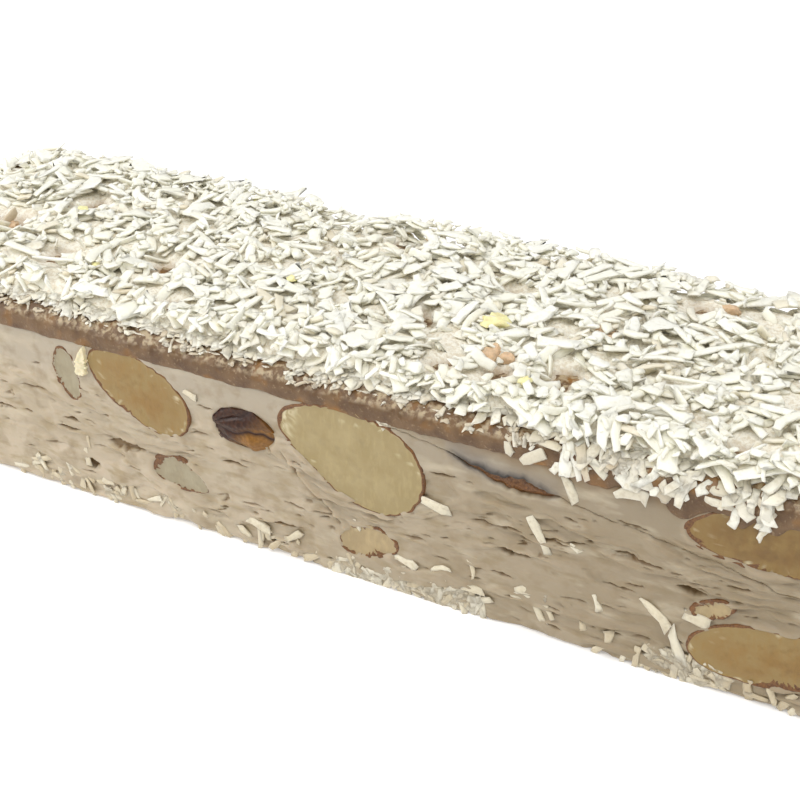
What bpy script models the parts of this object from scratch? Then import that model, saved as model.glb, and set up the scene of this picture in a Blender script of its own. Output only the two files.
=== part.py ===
"""A bar of soft almond nougat under a caramel layer and a thick coat of shredded coconut.

Run with: blender --background --python part.py

Metres, +Z up. X runs along the bar, Y across it. The origin is at the middle of the flat base.
The bar's four sides are knife cuts, so almonds and one raisin lie open in them, cut off flush.
"""

import math
from collections import namedtuple

import bmesh
import bpy
from mathutils import Matrix, Vector, noise

MM = 0.001

# Driving dimensions.
BAR_LENGTH = 150 * MM
BAR_WIDTH = 40 * MM
NOUGAT_HEIGHT = 24.9 * MM  # mean height of the nougat, which swells and dips along the bar
CARAMEL_TOP = 27.3 * MM  # height of the caramel's level top
COAT_MOST = 2.5 * MM  # thickness of the coconut where it is heaped highest
GAP = 0.3 * MM  # clearance between pieces that touch

# The line between nougat and caramel: a long swell along the bar, and a shorter one on top of it.
SWELL_HEIGHT = 0.6 * MM
SWELL_LENGTH = 125 * MM
SWELL_CREST = 32 * MM
RIPPLE_HEIGHT = 0.15 * MM
RIPPLE_LENGTH = 27 * MM
TOP_STEPS = 40  # straight runs that follow that line from end to end

SHARP_ANGLE = 40  # degrees; edges that turn further than this get rounded, and shade sharp
EDGE_ROUNDING = 1.1 * MM
CARAMEL_OVERHANG = 0.15 * MM
CARAMEL_ROUNDING = 0.45 * MM

# The coat is a lid over the caramel. Its hem hangs a little way down the four sides, and lower
# towards the bar's right end.
COAT_CLEARANCE = GAP + CARAMEL_OVERHANG
COAT_CELL = 3.8 * MM  # distance between neighbouring points of its uneven outline
HEM_DROP_LEFT = 0.9 * MM
HEM_DROP_RIGHT = 2.0 * MM
HEM_WAVER = 0.4 * MM
COAT_ROUNDING = 0.7 * MM
SHOULDER_SHARE = 0.6  # thickness round the top's edge, as a share of that on the top beside it
HEM_SHARE = 0.24  # thickness of the hem as a share of COAT_MOST
LUMP_SIZE = 5.5 * MM  # distance over which the coconut heaps rise and fall
SMALL_LUMPS = 2.3  # how many times finer the small lumps on the heaps are, and their share of height
SMALL_LUMP_SHARE = 0.5
END_SLUMP = 16 * MM  # the coat thins towards the bar's left end over this length

# Thickness of the coconut on the top, all as shares of COAT_MOST.
MEAN_SHARE = 0.80
LUMP_SHARE = 0.22
SLUMP_SHARE = 0.22
LEAST_SHARE = 0.45

SAME_PLACE = 0.01 * MM  # points nearer than this are one point
NEAR_TOP = 0.1 * MM  # points within this of the lid's top belong to it
DOWNWARD = -0.5  # the upright part of a normal below which its face looks down

ALMOND_SEGMENTS = 14
ALMOND_RINGS = 6
POCKET_COLLAR = 1.0 * MM  # how far a pocket's cutter stands out of the cut face

# One nut or fruit that a cut face has sliced through. Face, then the middle of the slice along
# that face (to the right, as seen from outside) and above the base, its length and width, the
# tilt of its long axis in degrees, how deep it goes, how pointed its right end is, and how far
# its long axis bows upwards in the middle, as a share of its width. All lengths in millimetres.
Slice = namedtuple("Slice", "name face along up length width tilt depth point bow")

ALMONDS = (
    Slice("almond_front_sliver", "front", -37.0, 18.0, 7.8, 3.8, 100, 2.4, -0.08, 0.02),
    Slice("almond_front_chip", "front", -34.3, 20.4, 4.2, 1.6, 76, 1.0, 0.10, 0.00),
    Slice("almond_front_golden", "front", -25.9, 18.4, 16.0, 8.8, -26, 4.2, -0.08, 0.05),
    Slice("almond_front_low_left", "front", -20.9, 7.6, 8.8, 4.5, -8, 2.6, 0.20, 0.12),
    Slice("almond_front_whole", "front", 3.7, 17.8, 19.8, 12.0, -17, 5.4, -0.26, 0.02),
    Slice("almond_front_low_middle", "front", 5.7, 6.0, 8.2, 4.5, 14, 2.4, 0.02, 0.06),
    Slice("almond_front_slit", "front", 22.3, 20.0, 14.6, 1.9, -9, 2.0, 0.05, -0.20),
    Slice("almond_front_right_top", "front", 53.2, 20.8, 20.6, 6.8, 3, 4.4, 0.10, 0.04),
    Slice("almond_front_ring", "front", 47.0, 10.8, 4.9, 2.2, 26, 1.8, 0.05, 0.00),
    Slice("almond_front_right_low", "front", 54.6, 6.7, 20.2, 7.4, 9, 4.2, 0.12, 0.03),
    Slice("almond_front_left_low", "front", -60.5, 9.6, 15.8, 7.8, 22, 4.0, 0.14, 0.05),
    Slice("almond_front_left_top", "front", -68.0, 19.2, 7.2, 4.0, -35, 2.4, 0.10, 0.02),
    Slice("almond_back_1", "back", -61.0, 9.8, 16.4, 8.6, -14, 4.2, 0.14, 0.04),
    Slice("almond_back_2", "back", -50.5, 19.4, 7.6, 4.0, 55, 2.2, 0.10, 0.02),
    Slice("almond_back_3", "back", -34.5, 11.2, 19.6, 8.8, 30, 4.6, 0.15, 0.06),
    Slice("almond_back_4", "back", -16.5, 17.2, 16.8, 8.4, -22, 4.4, 0.16, 0.04),
    Slice("almond_back_5", "back", -5.0, 5.6, 8.8, 4.4, 7, 2.4, 0.10, 0.03),
    Slice("almond_back_6", "back", 13.5, 14.6, 20.4, 11.4, 13, 5.0, 0.12, 0.02),
    Slice("almond_back_7", "back", 31.0, 19.6, 8.2, 4.2, -12, 2.4, 0.08, 0.02),
    Slice("almond_back_8", "back", 41.5, 8.2, 15.0, 7.0, -30, 3.8, 0.14, 0.05),
    Slice("almond_back_9", "back", 61.0, 15.8, 18.6, 9.8, 18, 4.6, 0.15, 0.03),
    Slice("almond_left_1", "left", 7.2, 15.6, 17.0, 9.6, -24, 4.2, 0.14, 0.03),
    Slice("almond_left_2", "left", -9.6, 8.2, 12.0, 6.0, 14, 3.2, 0.12, 0.04),
    Slice("almond_left_3", "left", -10.6, 19.4, 7.0, 3.6, -28, 2.0, 0.10, 0.02),
    Slice("almond_right_1", "right", 5.4, 16.0, 18.6, 10.4, 20, 4.4, 0.14, 0.03),
    Slice("almond_right_2", "right", -10.2, 8.6, 12.6, 6.4, -36, 3.4, 0.14, 0.04),
    Slice("almond_right_3", "right", 10.6, 5.6, 6.8, 3.2, 8, 2.0, 0.10, 0.02),
)
RAISIN = Slice("raisin_front", "front", -10.8, 17.0, 9.4, 6.0, 2, 3.0, 0.10, 0.05)

NOUGAT_COLOUR = (0.80, 0.73, 0.61)
CARAMEL_COLOUR = (0.36, 0.21, 0.11)
COCONUT_COLOUR = (0.90, 0.88, 0.79)
ALMOND_COLOUR = (0.72, 0.58, 0.33)
RAISIN_COLOUR = (0.16, 0.06, 0.025)


def material(name, colour, roughness):
    """An opaque food surface of one colour."""
    made = bpy.data.materials.new(name)
    made.use_nodes = True
    shader = made.node_tree.nodes["Principled BSDF"]
    shader.inputs["Base Color"].default_value = (*colour, 1)
    shader.inputs["Roughness"].default_value = roughness
    shader.inputs["Metallic"].default_value = 0
    made.diffuse_color = (*colour, 1)
    return made


def collection(name, shown):
    made = bpy.data.collections.new(name)
    made.hide_render = not shown
    bpy.context.scene.collection.children.link(made)
    return made


def add_object(name, mesh, target, surface=None):
    made = bpy.data.objects.new(name, mesh)
    target.objects.link(made)
    if surface:
        mesh.materials.append(surface)
    return made


def mesh_from(bm, name):
    """The bmesh as a mesh with its faces turned outwards, shaded smooth between sharp edges."""
    bmesh.ops.recalc_face_normals(bm, faces=bm.faces)
    mesh = bpy.data.meshes.new(name)
    bm.to_mesh(mesh)
    bm.free()
    mesh.shade_smooth()
    mesh.set_sharp_from_angle(angle=math.radians(SHARP_ANGLE))
    return mesh


def nougat_top(x):
    """Height of the nougat under the caramel at a place along the bar."""
    swell = SWELL_HEIGHT * math.cos(math.tau * (x - SWELL_CREST) / SWELL_LENGTH)
    ripple = RIPPLE_HEIGHT * math.sin(math.tau * x / RIPPLE_LENGTH)
    return NOUGAT_HEIGHT + swell + ripple


def face_frame(face):
    """Matrix whose axes run right, up and out of a cut face, from the middle of its lower edge."""
    out, half = {
        "front": (Vector((0, -1, 0)), BAR_WIDTH / 2),
        "back": (Vector((0, 1, 0)), BAR_WIDTH / 2),
        "left": (Vector((-1, 0, 0)), BAR_LENGTH / 2),
        "right": (Vector((1, 0, 0)), BAR_LENGTH / 2),
    }[face]
    up = Vector((0, 0, 1))
    right = up.cross(out)
    turn = Matrix((right, up, out)).transposed().to_4x4()
    return Matrix.Translation(out * half) @ turn


def mesh_from_outline(name, outline, half_width):
    """A closed outline in the XZ plane as a solid that reaches half_width to either side."""
    curve = bpy.data.curves.new(name, "CURVE")
    curve.dimensions = "2D"
    curve.fill_mode = "BOTH"
    curve.extrude = half_width
    spline = curve.splines.new("POLY")
    spline.points.add(len(outline) - 1)
    for point, (x, z) in zip(spline.points, outline):
        point.co = (x, z, 0, 1)
    spline.use_cyclic_u = True
    drawn = add_object(name, curve, bpy.context.scene.collection)
    drawn.rotation_euler = (math.pi / 2, 0, 0)
    bpy.context.view_layer.update()

    graph = bpy.context.evaluated_depsgraph_get()
    filled = bpy.data.meshes.new_from_object(drawn.evaluated_get(graph))
    bm = bmesh.new()
    bm.from_mesh(filled)
    bm.transform(drawn.matrix_world)
    bpy.data.objects.remove(drawn)
    bmesh.ops.remove_doubles(bm, verts=bm.verts, dist=SAME_PLACE)
    return mesh_from(bm, name)


def make_layer(name, outline, half_width, rounding, target, surface):
    """One layer of the bar, from its outline seen from the front, with rounded edges."""
    mesh = mesh_from_outline(name, outline, half_width)
    made = add_object(name, mesh, target, surface)
    bevel = made.modifiers.new("rounded_edges", "BEVEL")
    bevel.width = rounding
    bevel.segments = 2
    bevel.limit_method = "ANGLE"
    bevel.angle_limit = math.radians(SHARP_ANGLE)
    return made


def wavy_line(clearance):
    """Points along the nougat's top from the right end to the left, a clearance above it."""
    points = []
    for step in range(TOP_STEPS + 1):
        x = BAR_LENGTH * (0.5 - step / TOP_STEPS)
        points.append((x, nougat_top(x) + clearance))
    return points


def make_nougat(target, surface):
    base = [(-BAR_LENGTH / 2, 0), (BAR_LENGTH / 2, 0)]
    outline = base + wavy_line(0)
    return make_layer("nougat", outline, BAR_WIDTH / 2, EDGE_ROUNDING, target, surface)


def make_caramel(target, surface):
    underside = wavy_line(GAP)
    end = BAR_LENGTH / 2 + CARAMEL_OVERHANG
    underside[0] = (end, underside[0][1])
    underside[-1] = (-end, underside[-1][1])
    outline = underside + [(-end, CARAMEL_TOP), (end, CARAMEL_TOP)]
    half_width = BAR_WIDTH / 2 + CARAMEL_OVERHANG
    return make_layer("caramel_layer", outline, half_width, CARAMEL_ROUNDING, target, surface)


def slice_outline(angle, piece, grow):
    """Point of a slice's outline at an angle round its middle, its long axis along X."""
    half_length = piece.length * MM / 2 + grow
    half_width = piece.width * MM / 2 + grow
    along = math.cos(angle)
    across = math.sin(angle) * (1 - piece.point * along)
    bow = piece.bow * piece.width * MM * (0.5 - along * along)
    return half_length * along, half_width * across + bow


def half_ball():
    """The lower half of a ball of radius 1 and the flat face that closes it at the top."""
    bm = bmesh.new()
    bmesh.ops.create_uvsphere(bm, u_segments=ALMOND_SEGMENTS, v_segments=ALMOND_RINGS, radius=1)
    whole = bm.verts[:] + bm.edges[:] + bm.faces[:]
    bmesh.ops.bisect_plane(bm, geom=whole, dist=1e-4, plane_no=(0, 0, 1), clear_outer=True)
    rim = [edge for edge in bm.edges if edge.is_boundary]
    return bm, bmesh.ops.edgeloop_fill(bm, edges=rim)["faces"]


def make_slice(piece, target, surface=None, grow=0.0, collar=0.0):
    """Half a nut, flat side out and flush with its face, and bowl-shaped behind.

    grow swells it, and collar carries its flat side out of the face, which makes a cutter.
    """
    bm, flat_side = half_ball()
    depth = piece.depth * MM + grow
    for vert in bm.verts:
        angle = math.atan2(vert.co.y, vert.co.x)
        share = math.hypot(vert.co.x, vert.co.y)
        x, y = slice_outline(angle, piece, grow)
        vert.co = (x * share, y * share, vert.co.z * depth)
    if collar:
        raised = bmesh.ops.extrude_face_region(bm, geom=flat_side)["geom"]
        verts = [item for item in raised if isinstance(item, bmesh.types.BMVert)]
        bmesh.ops.translate(bm, verts=verts, vec=(0, 0, collar))
        bmesh.ops.delete(bm, geom=flat_side, context="FACES_ONLY")
    made = add_object(piece.name, mesh_from(bm, piece.name), target, surface)
    place = Matrix.Translation((piece.along * MM, piece.up * MM, 0))
    turn = Matrix.Rotation(math.radians(piece.tilt), 4, "Z")
    made.matrix_world = face_frame(piece.face) @ place @ turn
    return made


def cut_pockets(nougat, pieces, cutters):
    """Cuts a pocket for each slice, a gap larger than the slice all round."""
    for piece in pieces:
        cutter = make_slice(piece, cutters, grow=GAP, collar=POCKET_COLLAR)
        cutter.name = "pocket_" + piece.name
        cutter.hide_render = True
        cutter.display_type = "WIRE"
    pocket = nougat.modifiers.new("pockets", "BOOLEAN")
    pocket.operation = "DIFFERENCE"
    pocket.operand_type = "COLLECTION"
    pocket.collection = cutters
    pocket.solver = "EXACT"


def coat_share(place):
    """How thick the coconut lies at a place, as a share of COAT_MOST."""
    small = noise.noise(place / LUMP_SIZE * SMALL_LUMPS)
    lumps = noise.noise(place / LUMP_SIZE) + SMALL_LUMP_SHARE * small
    heaped = MEAN_SHARE + LUMP_SHARE * lumps
    from_left = place.x + BAR_LENGTH / 2
    if from_left < END_SLUMP:
        heaped -= SLUMP_SHARE * (1 - from_left / END_SLUMP)
    return min(1.0, max(LEAST_SHARE, heaped))


def hem_height(place):
    """Height of the coat's lower edge at a place round the bar."""
    along = place.x / BAR_LENGTH + 0.5
    drop = HEM_DROP_LEFT + (HEM_DROP_RIGHT - HEM_DROP_LEFT) * along
    return CARAMEL_TOP - drop + HEM_WAVER * noise.noise(place / LUMP_SIZE)


def lid_sheet(length, width, low, high):
    """An open lid: a box's top and sides, with rounded edges and a grid of points over it."""
    bm = bmesh.new()
    bmesh.ops.create_cube(bm, size=1)
    bmesh.ops.scale(bm, vec=(length, width, high - low), verts=bm.verts)
    bmesh.ops.translate(bm, vec=(0, 0, (high + low) / 2), verts=bm.verts)
    base = [face for face in bm.faces if face.normal.z < DOWNWARD]
    bmesh.ops.delete(bm, geom=base, context="FACES_ONLY")
    closed = [edge for edge in bm.edges if not edge.is_boundary]
    bmesh.ops.bevel(bm, geom=closed, offset=COAT_ROUNDING, segments=2, profile=0.5, affect="EDGES")
    for axis, size in ((0, length), (1, width)):
        cells = round(size / COAT_CELL)
        for cell in range(1, cells):
            place, normal = Vector(), Vector()
            place[axis] = size * (cell / cells - 0.5)
            normal[axis] = 1
            everything = bm.verts[:] + bm.edges[:] + bm.faces[:]
            bmesh.ops.bisect_plane(bm, geom=everything, plane_co=place, plane_no=normal)
    return bm


def make_coat(target, surface):
    """The coconut as one blanket: an even inside and an uneven outside, down to a wavering hem."""
    length = BAR_LENGTH + 2 * COAT_CLEARANCE
    width = BAR_WIDTH + 2 * COAT_CLEARANCE
    low = CARAMEL_TOP - HEM_DROP_LEFT
    high = CARAMEL_TOP + GAP
    bm = lid_sheet(length, width, low, high)
    for vert in bm.verts:
        if vert.is_boundary:
            vert.co.z = hem_height(vert.co)
    mesh = mesh_from(bm, "coconut_coat")
    made = add_object("coconut_coat", mesh, target, surface)
    thickness = made.vertex_groups.new(name="thickness")
    for vert in mesh.vertices:
        share = coat_share(vert.co)
        if vert.co.z < high - NEAR_TOP:
            share *= SHOULDER_SHARE
        if vert.co.z < high - COAT_ROUNDING / 2:
            share = HEM_SHARE
        thickness.add([vert.index], share, "REPLACE")
    shell = made.modifiers.new("coconut_thickness", "SOLIDIFY")
    shell.thickness = COAT_MOST
    shell.offset = 1
    shell.vertex_group = "thickness"
    return made


def main():
    for obj in list(bpy.data.objects):
        bpy.data.objects.remove(obj)
    bar = collection("nougat_bar", shown=True)
    cutters = collection("pocket_cutters", shown=False)
    nougat_surface = material("nougat", NOUGAT_COLOUR, 0.6)
    caramel_surface = material("caramel", CARAMEL_COLOUR, 0.35)
    coconut_surface = material("coconut", COCONUT_COLOUR, 0.7)
    almond_surface = material("almond", ALMOND_COLOUR, 0.45)
    raisin_surface = material("raisin", RAISIN_COLOUR, 0.25)

    nougat = make_nougat(bar, nougat_surface)
    for piece in ALMONDS:
        make_slice(piece, bar, almond_surface)
    make_slice(RAISIN, bar, raisin_surface)
    cut_pockets(nougat, (*ALMONDS, RAISIN), cutters)
    make_caramel(bar, caramel_surface)
    make_coat(bar, coconut_surface)


main()
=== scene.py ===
"""Looks for the nougat bar: torn soft nougat, cut nuts, sticky caramel and a heap of coconut.

Lengths are in millimetres until a mesh is made. A cut face is described by two directions: along
it, to the right as seen from outside, and up. A third, out, is the distance out of that face.
"""

import math
from collections import namedtuple
from itertools import product

import bpy
import numpy as np
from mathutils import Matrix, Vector


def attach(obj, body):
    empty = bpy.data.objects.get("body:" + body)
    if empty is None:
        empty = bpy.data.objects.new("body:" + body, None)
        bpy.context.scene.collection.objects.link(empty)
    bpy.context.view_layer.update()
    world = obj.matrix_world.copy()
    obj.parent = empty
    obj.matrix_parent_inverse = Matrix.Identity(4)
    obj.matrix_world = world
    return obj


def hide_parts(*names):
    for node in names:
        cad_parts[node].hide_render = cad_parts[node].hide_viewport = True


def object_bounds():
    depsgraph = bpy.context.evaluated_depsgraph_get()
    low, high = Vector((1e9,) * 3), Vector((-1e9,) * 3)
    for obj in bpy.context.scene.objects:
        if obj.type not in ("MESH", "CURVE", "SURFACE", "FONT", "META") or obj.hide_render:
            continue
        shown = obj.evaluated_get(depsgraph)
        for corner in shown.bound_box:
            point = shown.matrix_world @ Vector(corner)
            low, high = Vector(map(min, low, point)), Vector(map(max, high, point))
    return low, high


MM = 0.001

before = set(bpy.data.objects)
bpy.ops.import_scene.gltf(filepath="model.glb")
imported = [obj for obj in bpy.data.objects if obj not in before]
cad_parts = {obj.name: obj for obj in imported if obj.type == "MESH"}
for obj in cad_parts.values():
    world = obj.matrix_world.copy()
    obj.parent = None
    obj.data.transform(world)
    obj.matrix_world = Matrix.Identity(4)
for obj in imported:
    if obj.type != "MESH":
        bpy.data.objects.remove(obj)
cad_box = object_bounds()


def points_of(mesh):
    """A mesh's points in millimetres."""
    points = np.empty(3 * len(mesh.vertices))
    mesh.vertices.foreach_get("co", points)
    return points.reshape(-1, 3) / MM


def node_points(node):
    """A CAD node's points in millimetres."""
    return points_of(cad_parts[node].data)


NOUGAT = node_points("nougat")
CARAMEL = node_points("caramel_layer")
COAT = node_points("coconut_coat")
HALF_LENGTH = float(NOUGAT[:, 0].max())
HALF_WIDTH = float(NOUGAT[:, 1].max())
CARAMEL_TOP = float(CARAMEL[:, 2].max())
COAT_TOP = float(COAT[:, 2].max())

# ---------------------------------------------------------------------------------------------
# Smooth noise over arrays of points

LATTICE = 256
SEED_STRIDE = 31  # how far apart the lattices of two seeds start
NOISE_REACH = 1.6  # brings the noise to about -1 to 1
FLAT_LEVEL = 0.37  # the level at which flat noise is cut from noise in space

_lattice = np.random.default_rng(7)
ORDER = _lattice.permutation(LATTICE)
SLOPES = _lattice.normal(size=(LATTICE, 3))
SLOPES /= np.linalg.norm(SLOPES, axis=1, keepdims=True)


def noise(points, size, seed=0):
    """Smooth noise, about -1 to 1, at each point. size is its grain in mm, one or per axis."""
    scaled = np.asarray(points, float) / np.asarray(size, float)
    cell = np.floor(scaled).astype(np.int64)
    part = scaled - cell
    ease = part**3 * (part * (part * 6 - 15) + 10)
    total = np.zeros(len(scaled))
    for corner in product((0, 1), repeat=3):
        node = cell + corner
        index = ORDER[(node[:, 0] + SEED_STRIDE * seed) & (LATTICE - 1)]
        index = ORDER[(index + node[:, 1]) & (LATTICE - 1)]
        index = ORDER[(index + node[:, 2]) & (LATTICE - 1)]
        weight = np.prod(np.where(corner, ease, 1 - ease), axis=1)
        total += weight * np.sum(SLOPES[index] * (part - corner), axis=1)
    return NOISE_REACH * total


def flat_noise(across, up, size, seed=0):
    """The same noise over two coordinates."""
    across, up = np.broadcast_arrays(across, up)
    points = np.stack([across.ravel(), up.ravel(), np.full(across.size, FLAT_LEVEL)], axis=1)
    grain = (*np.broadcast_to(size, 2), 1.0)
    return noise(points, grain, seed).reshape(across.shape)


def ramp(value, start, end):
    """0 at start, 1 at end, and smooth between them."""
    share = np.clip((value - start) / (end - start), 0, 1)
    return share * share * (3 - 2 * share)


def bell(value, width):
    """1 where the value is 0, falling smoothly to 0 over about twice the width."""
    return np.exp(-((value / width) ** 2))


# ---------------------------------------------------------------------------------------------
# Meshes

WELD_REACH = 0.001


def grid_faces(rows, columns, wraps=False):
    """Quads of a grid of points, row by row. With wraps, the last column joins the first."""
    index = np.arange(rows * columns).reshape(rows, columns)
    if wraps:
        index = np.hstack([index, index[:, :1]])
    a, b = index[:-1, :-1], index[:-1, 1:]
    c, d = index[1:, 1:], index[1:, :-1]
    return np.stack([a, b, c, d], axis=-1).reshape(-1, 4).tolist()


def rings_inside(rim, shares):
    """Rings between a rim and the bar's middle line, which close a top or an underside.

    On the line they meet at whole millimetres, so that both sides share their points."""
    spine = HALF_LENGTH - HALF_WIDTH
    along = np.round(np.clip(rim[:, 0], -spine, spine))
    middle = np.stack([along, 0 * along, np.full(len(rim), rim[:, 2].mean())], axis=1)
    return rim + np.array(shares)[:, None, None] * (middle - rim)


def add_shades(mesh, shades):
    """Writes numbers per point, under the names by which the materials read them."""
    for label, values in shades.items():
        layer = mesh.attributes.new(label, "FLOAT", "POINT")
        layer.data.foreach_set("value", np.asarray(values, np.float32).ravel())


def make_piece(name, points, faces, material, node=None, sharp=50, shades=None):
    """A mesh piece that rides on the bar. Points are in mm. Edges over sharp degrees stay sharp."""
    mesh = bpy.data.meshes.new(name)
    mesh.from_pydata((np.asarray(points) * MM).tolist(), [], faces)
    mesh.update()
    add_shades(mesh, shades or {})
    mesh.materials.append(material)
    mesh.shade_smooth()
    mesh.set_sharp_from_angle(angle=math.radians(sharp))
    piece = bpy.data.objects.new(name, mesh)
    bpy.context.scene.collection.objects.link(piece)
    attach(piece, "root")
    if node:
        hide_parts(node)
    return piece


def weld(piece):
    """Joins points that lie on each other."""
    piece.modifiers.new("weld", "WELD").merge_threshold = WELD_REACH * MM


def apply_modifiers(piece):
    """Makes the piece's modifiers part of its mesh."""
    graph = bpy.context.evaluated_depsgraph_get()
    shaped = bpy.data.meshes.new_from_object(piece.evaluated_get(graph))
    piece.modifiers.clear()
    plain = piece.data
    piece.data = shaped
    shaped.name = plain.name
    bpy.data.meshes.remove(plain)


# ---------------------------------------------------------------------------------------------
# Cut faces and the slices in them

Face = namedtuple("Face", "name out right half_span distance")
FACES = {
    "front": Face("front", (0, -1), (1, 0), HALF_LENGTH, HALF_WIDTH),
    "right": Face("right", (1, 0), (0, 1), HALF_WIDTH, HALF_LENGTH),
    "back": Face("back", (0, 1), (-1, 0), HALF_LENGTH, HALF_WIDTH),
    "left": Face("left", (-1, 0), (0, -1), HALF_WIDTH, HALF_LENGTH),
}


def on_face(face, along, up, out):
    """Points in the frame from places on a cut face."""
    along, up, out = np.broadcast_arrays(along, up, out)
    reach = face.distance + out
    x = face.right[0] * along + face.out[0] * reach
    y = face.right[1] * along + face.out[1] * reach
    return np.stack([x, y, up], axis=-1)


def to_face(face, points):
    """Along, up and out of points in the frame."""
    flat = points[..., :2]
    return flat @ np.array(face.right), points[..., 2], flat @ np.array(face.out) - face.distance


SLIT = "almond_front_slit"
RAISIN = "raisin_front"
CHIP = "almond_front_chip"

RIM_DEPTH = 0.02  # a slice's points this near the face are on its outline
OUTLINE_STEPS = 1441
LONG_SLICE = 12.0  # the knife left deeper corners on slices longer than this
LONG_UNEVEN, SHORT_UNEVEN = 0.075, 0.05
SLOPE_STEP = 0.02


class Cut:
    """The outline that a CAD slice shows in its cut face."""

    def __init__(self, node):
        self.node = node
        self.face = FACES[node.split("_")[1]]
        along, up, out = to_face(self.face, node_points(node))
        rim = np.unique(np.round(np.stack([along, up], 1)[out > -RIM_DEPTH], 3), axis=0)
        low, high = rim.min(0), rim.max(0)
        self.middle = (low + high) / 2
        offset = rim - self.middle
        turn = np.arctan2(offset[:, 1], offset[:, 0])
        order = np.argsort(turn)
        self._turns = turn[order]
        self._radii = np.hypot(*offset[order].T)
        self.span = float(np.hypot(*(high - low)))
        heading = np.linalg.eigh(np.cov(offset.T))[1][:, 1]
        self.heading = heading * (1 if heading[0] >= 0 else -1)
        self._steps = steps = np.linspace(-math.pi, math.pi, OUTLINE_STEPS)
        uneven = 0.0 if node == SLIT else LONG_UNEVEN if self.span > LONG_SLICE else SHORT_UNEVEN
        circle = 1.25 * np.stack([np.cos(steps), np.sin(steps), 0 * steps], axis=-1)
        own = 11.0 * (1 + sum(map(ord, node)) % 97)
        corners = noise(circle + (0, 0, own), 1.0, 12) - 0.25
        self._outline = self.smooth_radius(steps) * (1 + uneven * corners)

    def radius(self, turn):
        """Distance from the middle to the outline at an angle, with the knife's uneven corners."""
        return np.interp(turn, self._steps, self._outline, period=math.tau)

    def smooth_radius(self, turn):
        """The CAD outline's distance from the middle, eased between its points."""
        turns, radii = self._turns, self._radii
        turns = np.concatenate([turns[-3:] - math.tau, turns, turns[:3] + math.tau])
        radii = np.concatenate([radii[-3:], radii, radii[:3]])
        wrapped = (turn + math.pi) % math.tau - math.pi
        place = np.clip(np.searchsorted(turns, wrapped) - 1, 1, len(turns) - 3)
        t0, t1, t2, t3 = (turns[place + step] for step in (-1, 0, 1, 2))
        r0, r1, r2, r3 = (radii[place + step] for step in (-1, 0, 1, 2))
        share = (wrapped - t1) / (t2 - t1)
        before = (r2 - r0) / (t2 - t0) * (t2 - t1)
        after = (r3 - r1) / (t3 - t1) * (t2 - t1)
        s2, s3 = share**2, share**3
        start = (2 * s3 - 3 * s2 + 1) * r1 + (s3 - 2 * s2 + share) * before
        end = (3 * s2 - 2 * s3) * r2 + (s3 - s2) * after
        return start + end

    def distance(self, along, up):
        """How far outside the outline a place lies, about. Negative is inside."""
        turn = np.arctan2(up - self.middle[1], along - self.middle[0])
        radius = self.radius(turn)
        change = self.radius(turn + SLOPE_STEP) - self.radius(turn - SLOPE_STEP)
        slope = change / (2 * SLOPE_STEP) / radius
        away = np.hypot(up - self.middle[1], along - self.middle[0]) - radius
        return away / np.sqrt(1 + slope**2)


SLICES = [node for node in sorted(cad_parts) if node.startswith(("almond", "raisin"))]
CUTS = {node: Cut(node) for node in SLICES}


def cuts_in(face):
    """The slices that show in a cut face."""
    return [cut for cut in CUTS.values() if cut.face is face]


def top_line():
    """The nougat's top along the bar: places and heights, from the CAD."""
    top = NOUGAT[(NOUGAT[:, 2] > NOUGAT[:, 2].max() - 3) & (np.abs(NOUGAT[:, 1]) < HALF_WIDTH - 1)]
    steps = np.unique(np.round(top[:, 0], 1))
    return steps, np.array([top[np.abs(top[:, 0] - step) < 0.1][:, 2].max() for step in steps])


TOP_LINE = top_line()


def nougat_top(x):
    """Height of the nougat's top at places along the bar."""
    return np.interp(x, *TOP_LINE)


# ---------------------------------------------------------------------------------------------
# Nougat

CORNER = 1.1  # rounding of the upright edges
BASE_EDGE = 0.9  # rounding of the lower edge
FRONT_STEP, FAR_STEP, UP_STEP = 0.25, 0.5, 0.125
SMOOTH_BAND = 5.0  # the knife smeared this much below the caramel
NOUGAT_TRIANGLES = 185_000
SIDE_DEPTH = 2.2  # points this near a cut face take its colour
NUT_DARK_REACH = 0.5  # how far round a slice the nougat is darker
WALL_OVERLAP = 0.1  # how far the walls run up into the caramel
CORNER_RELIEF = 0.25  # share of the relief that is left at the upright edges

# Tears in the front: along, up, length, height and depth.
FRONT_TEARS = (
    (-47.9, 14.2, 1.6, 0.35, 0.4), (-43.2, 14.5, 4.6, 0.35, 0.4), (-37.2, 11.4, 2.6, 0.6, 0.6),
    (-44.7, 10.5, 1.4, 0.6, 0.5), (-34.9, 5.2, 2.2, 1.5, 0.7), (-28.7, 9.8, 6.4, 1.3, 0.45),
    (-33.2, 8.4, 2.0, 0.3, 0.3), (30.7, 17.1, 1.8, 0.35, 0.5), (23.7, 13.7, 3.4, 0.3, 0.5),
    (28.5, 13.7, 5.0, 0.3, 0.5), (33.0, 14.8, 1.0, 0.35, 0.5), (38.8, 14.4, 5.8, 0.5, 0.5),
    (37.6, 18.6, 4.0, 0.3, 0.4), (36.7, 10.0, 4.2, 0.3, 0.4), (24.3, 10.6, 4.4, 0.9, 0.9),
    (44.6, 12.3, 3.6, 0.8, 0.9), (20.6, 13.4, 3.8, 0.3, 0.4), (31.8, 6.8, 3.4, 0.25, 0.3),
    (49.5, 14.6, 3.0, 0.4, 0.4), (12.0, 8.6, 3.0, 0.3, 0.4), (-4.0, 8.2, 3.6, 0.3, 0.4),
    (-12.6, 11.6, 4.0, 0.35, 0.5), (-8.4, 6.0, 2.6, 0.25, 0.3), (-15.8, 3.6, 3.2, 0.3, 0.3),
)
# The torn lip beside the big almond, from its top down: along and up.
TORN_LIP = ((-5.6, 15.6), (-4.0, 13.6), (-1.6, 11.2), (0.8, 9.2), (2.6, 7.2))

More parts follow.
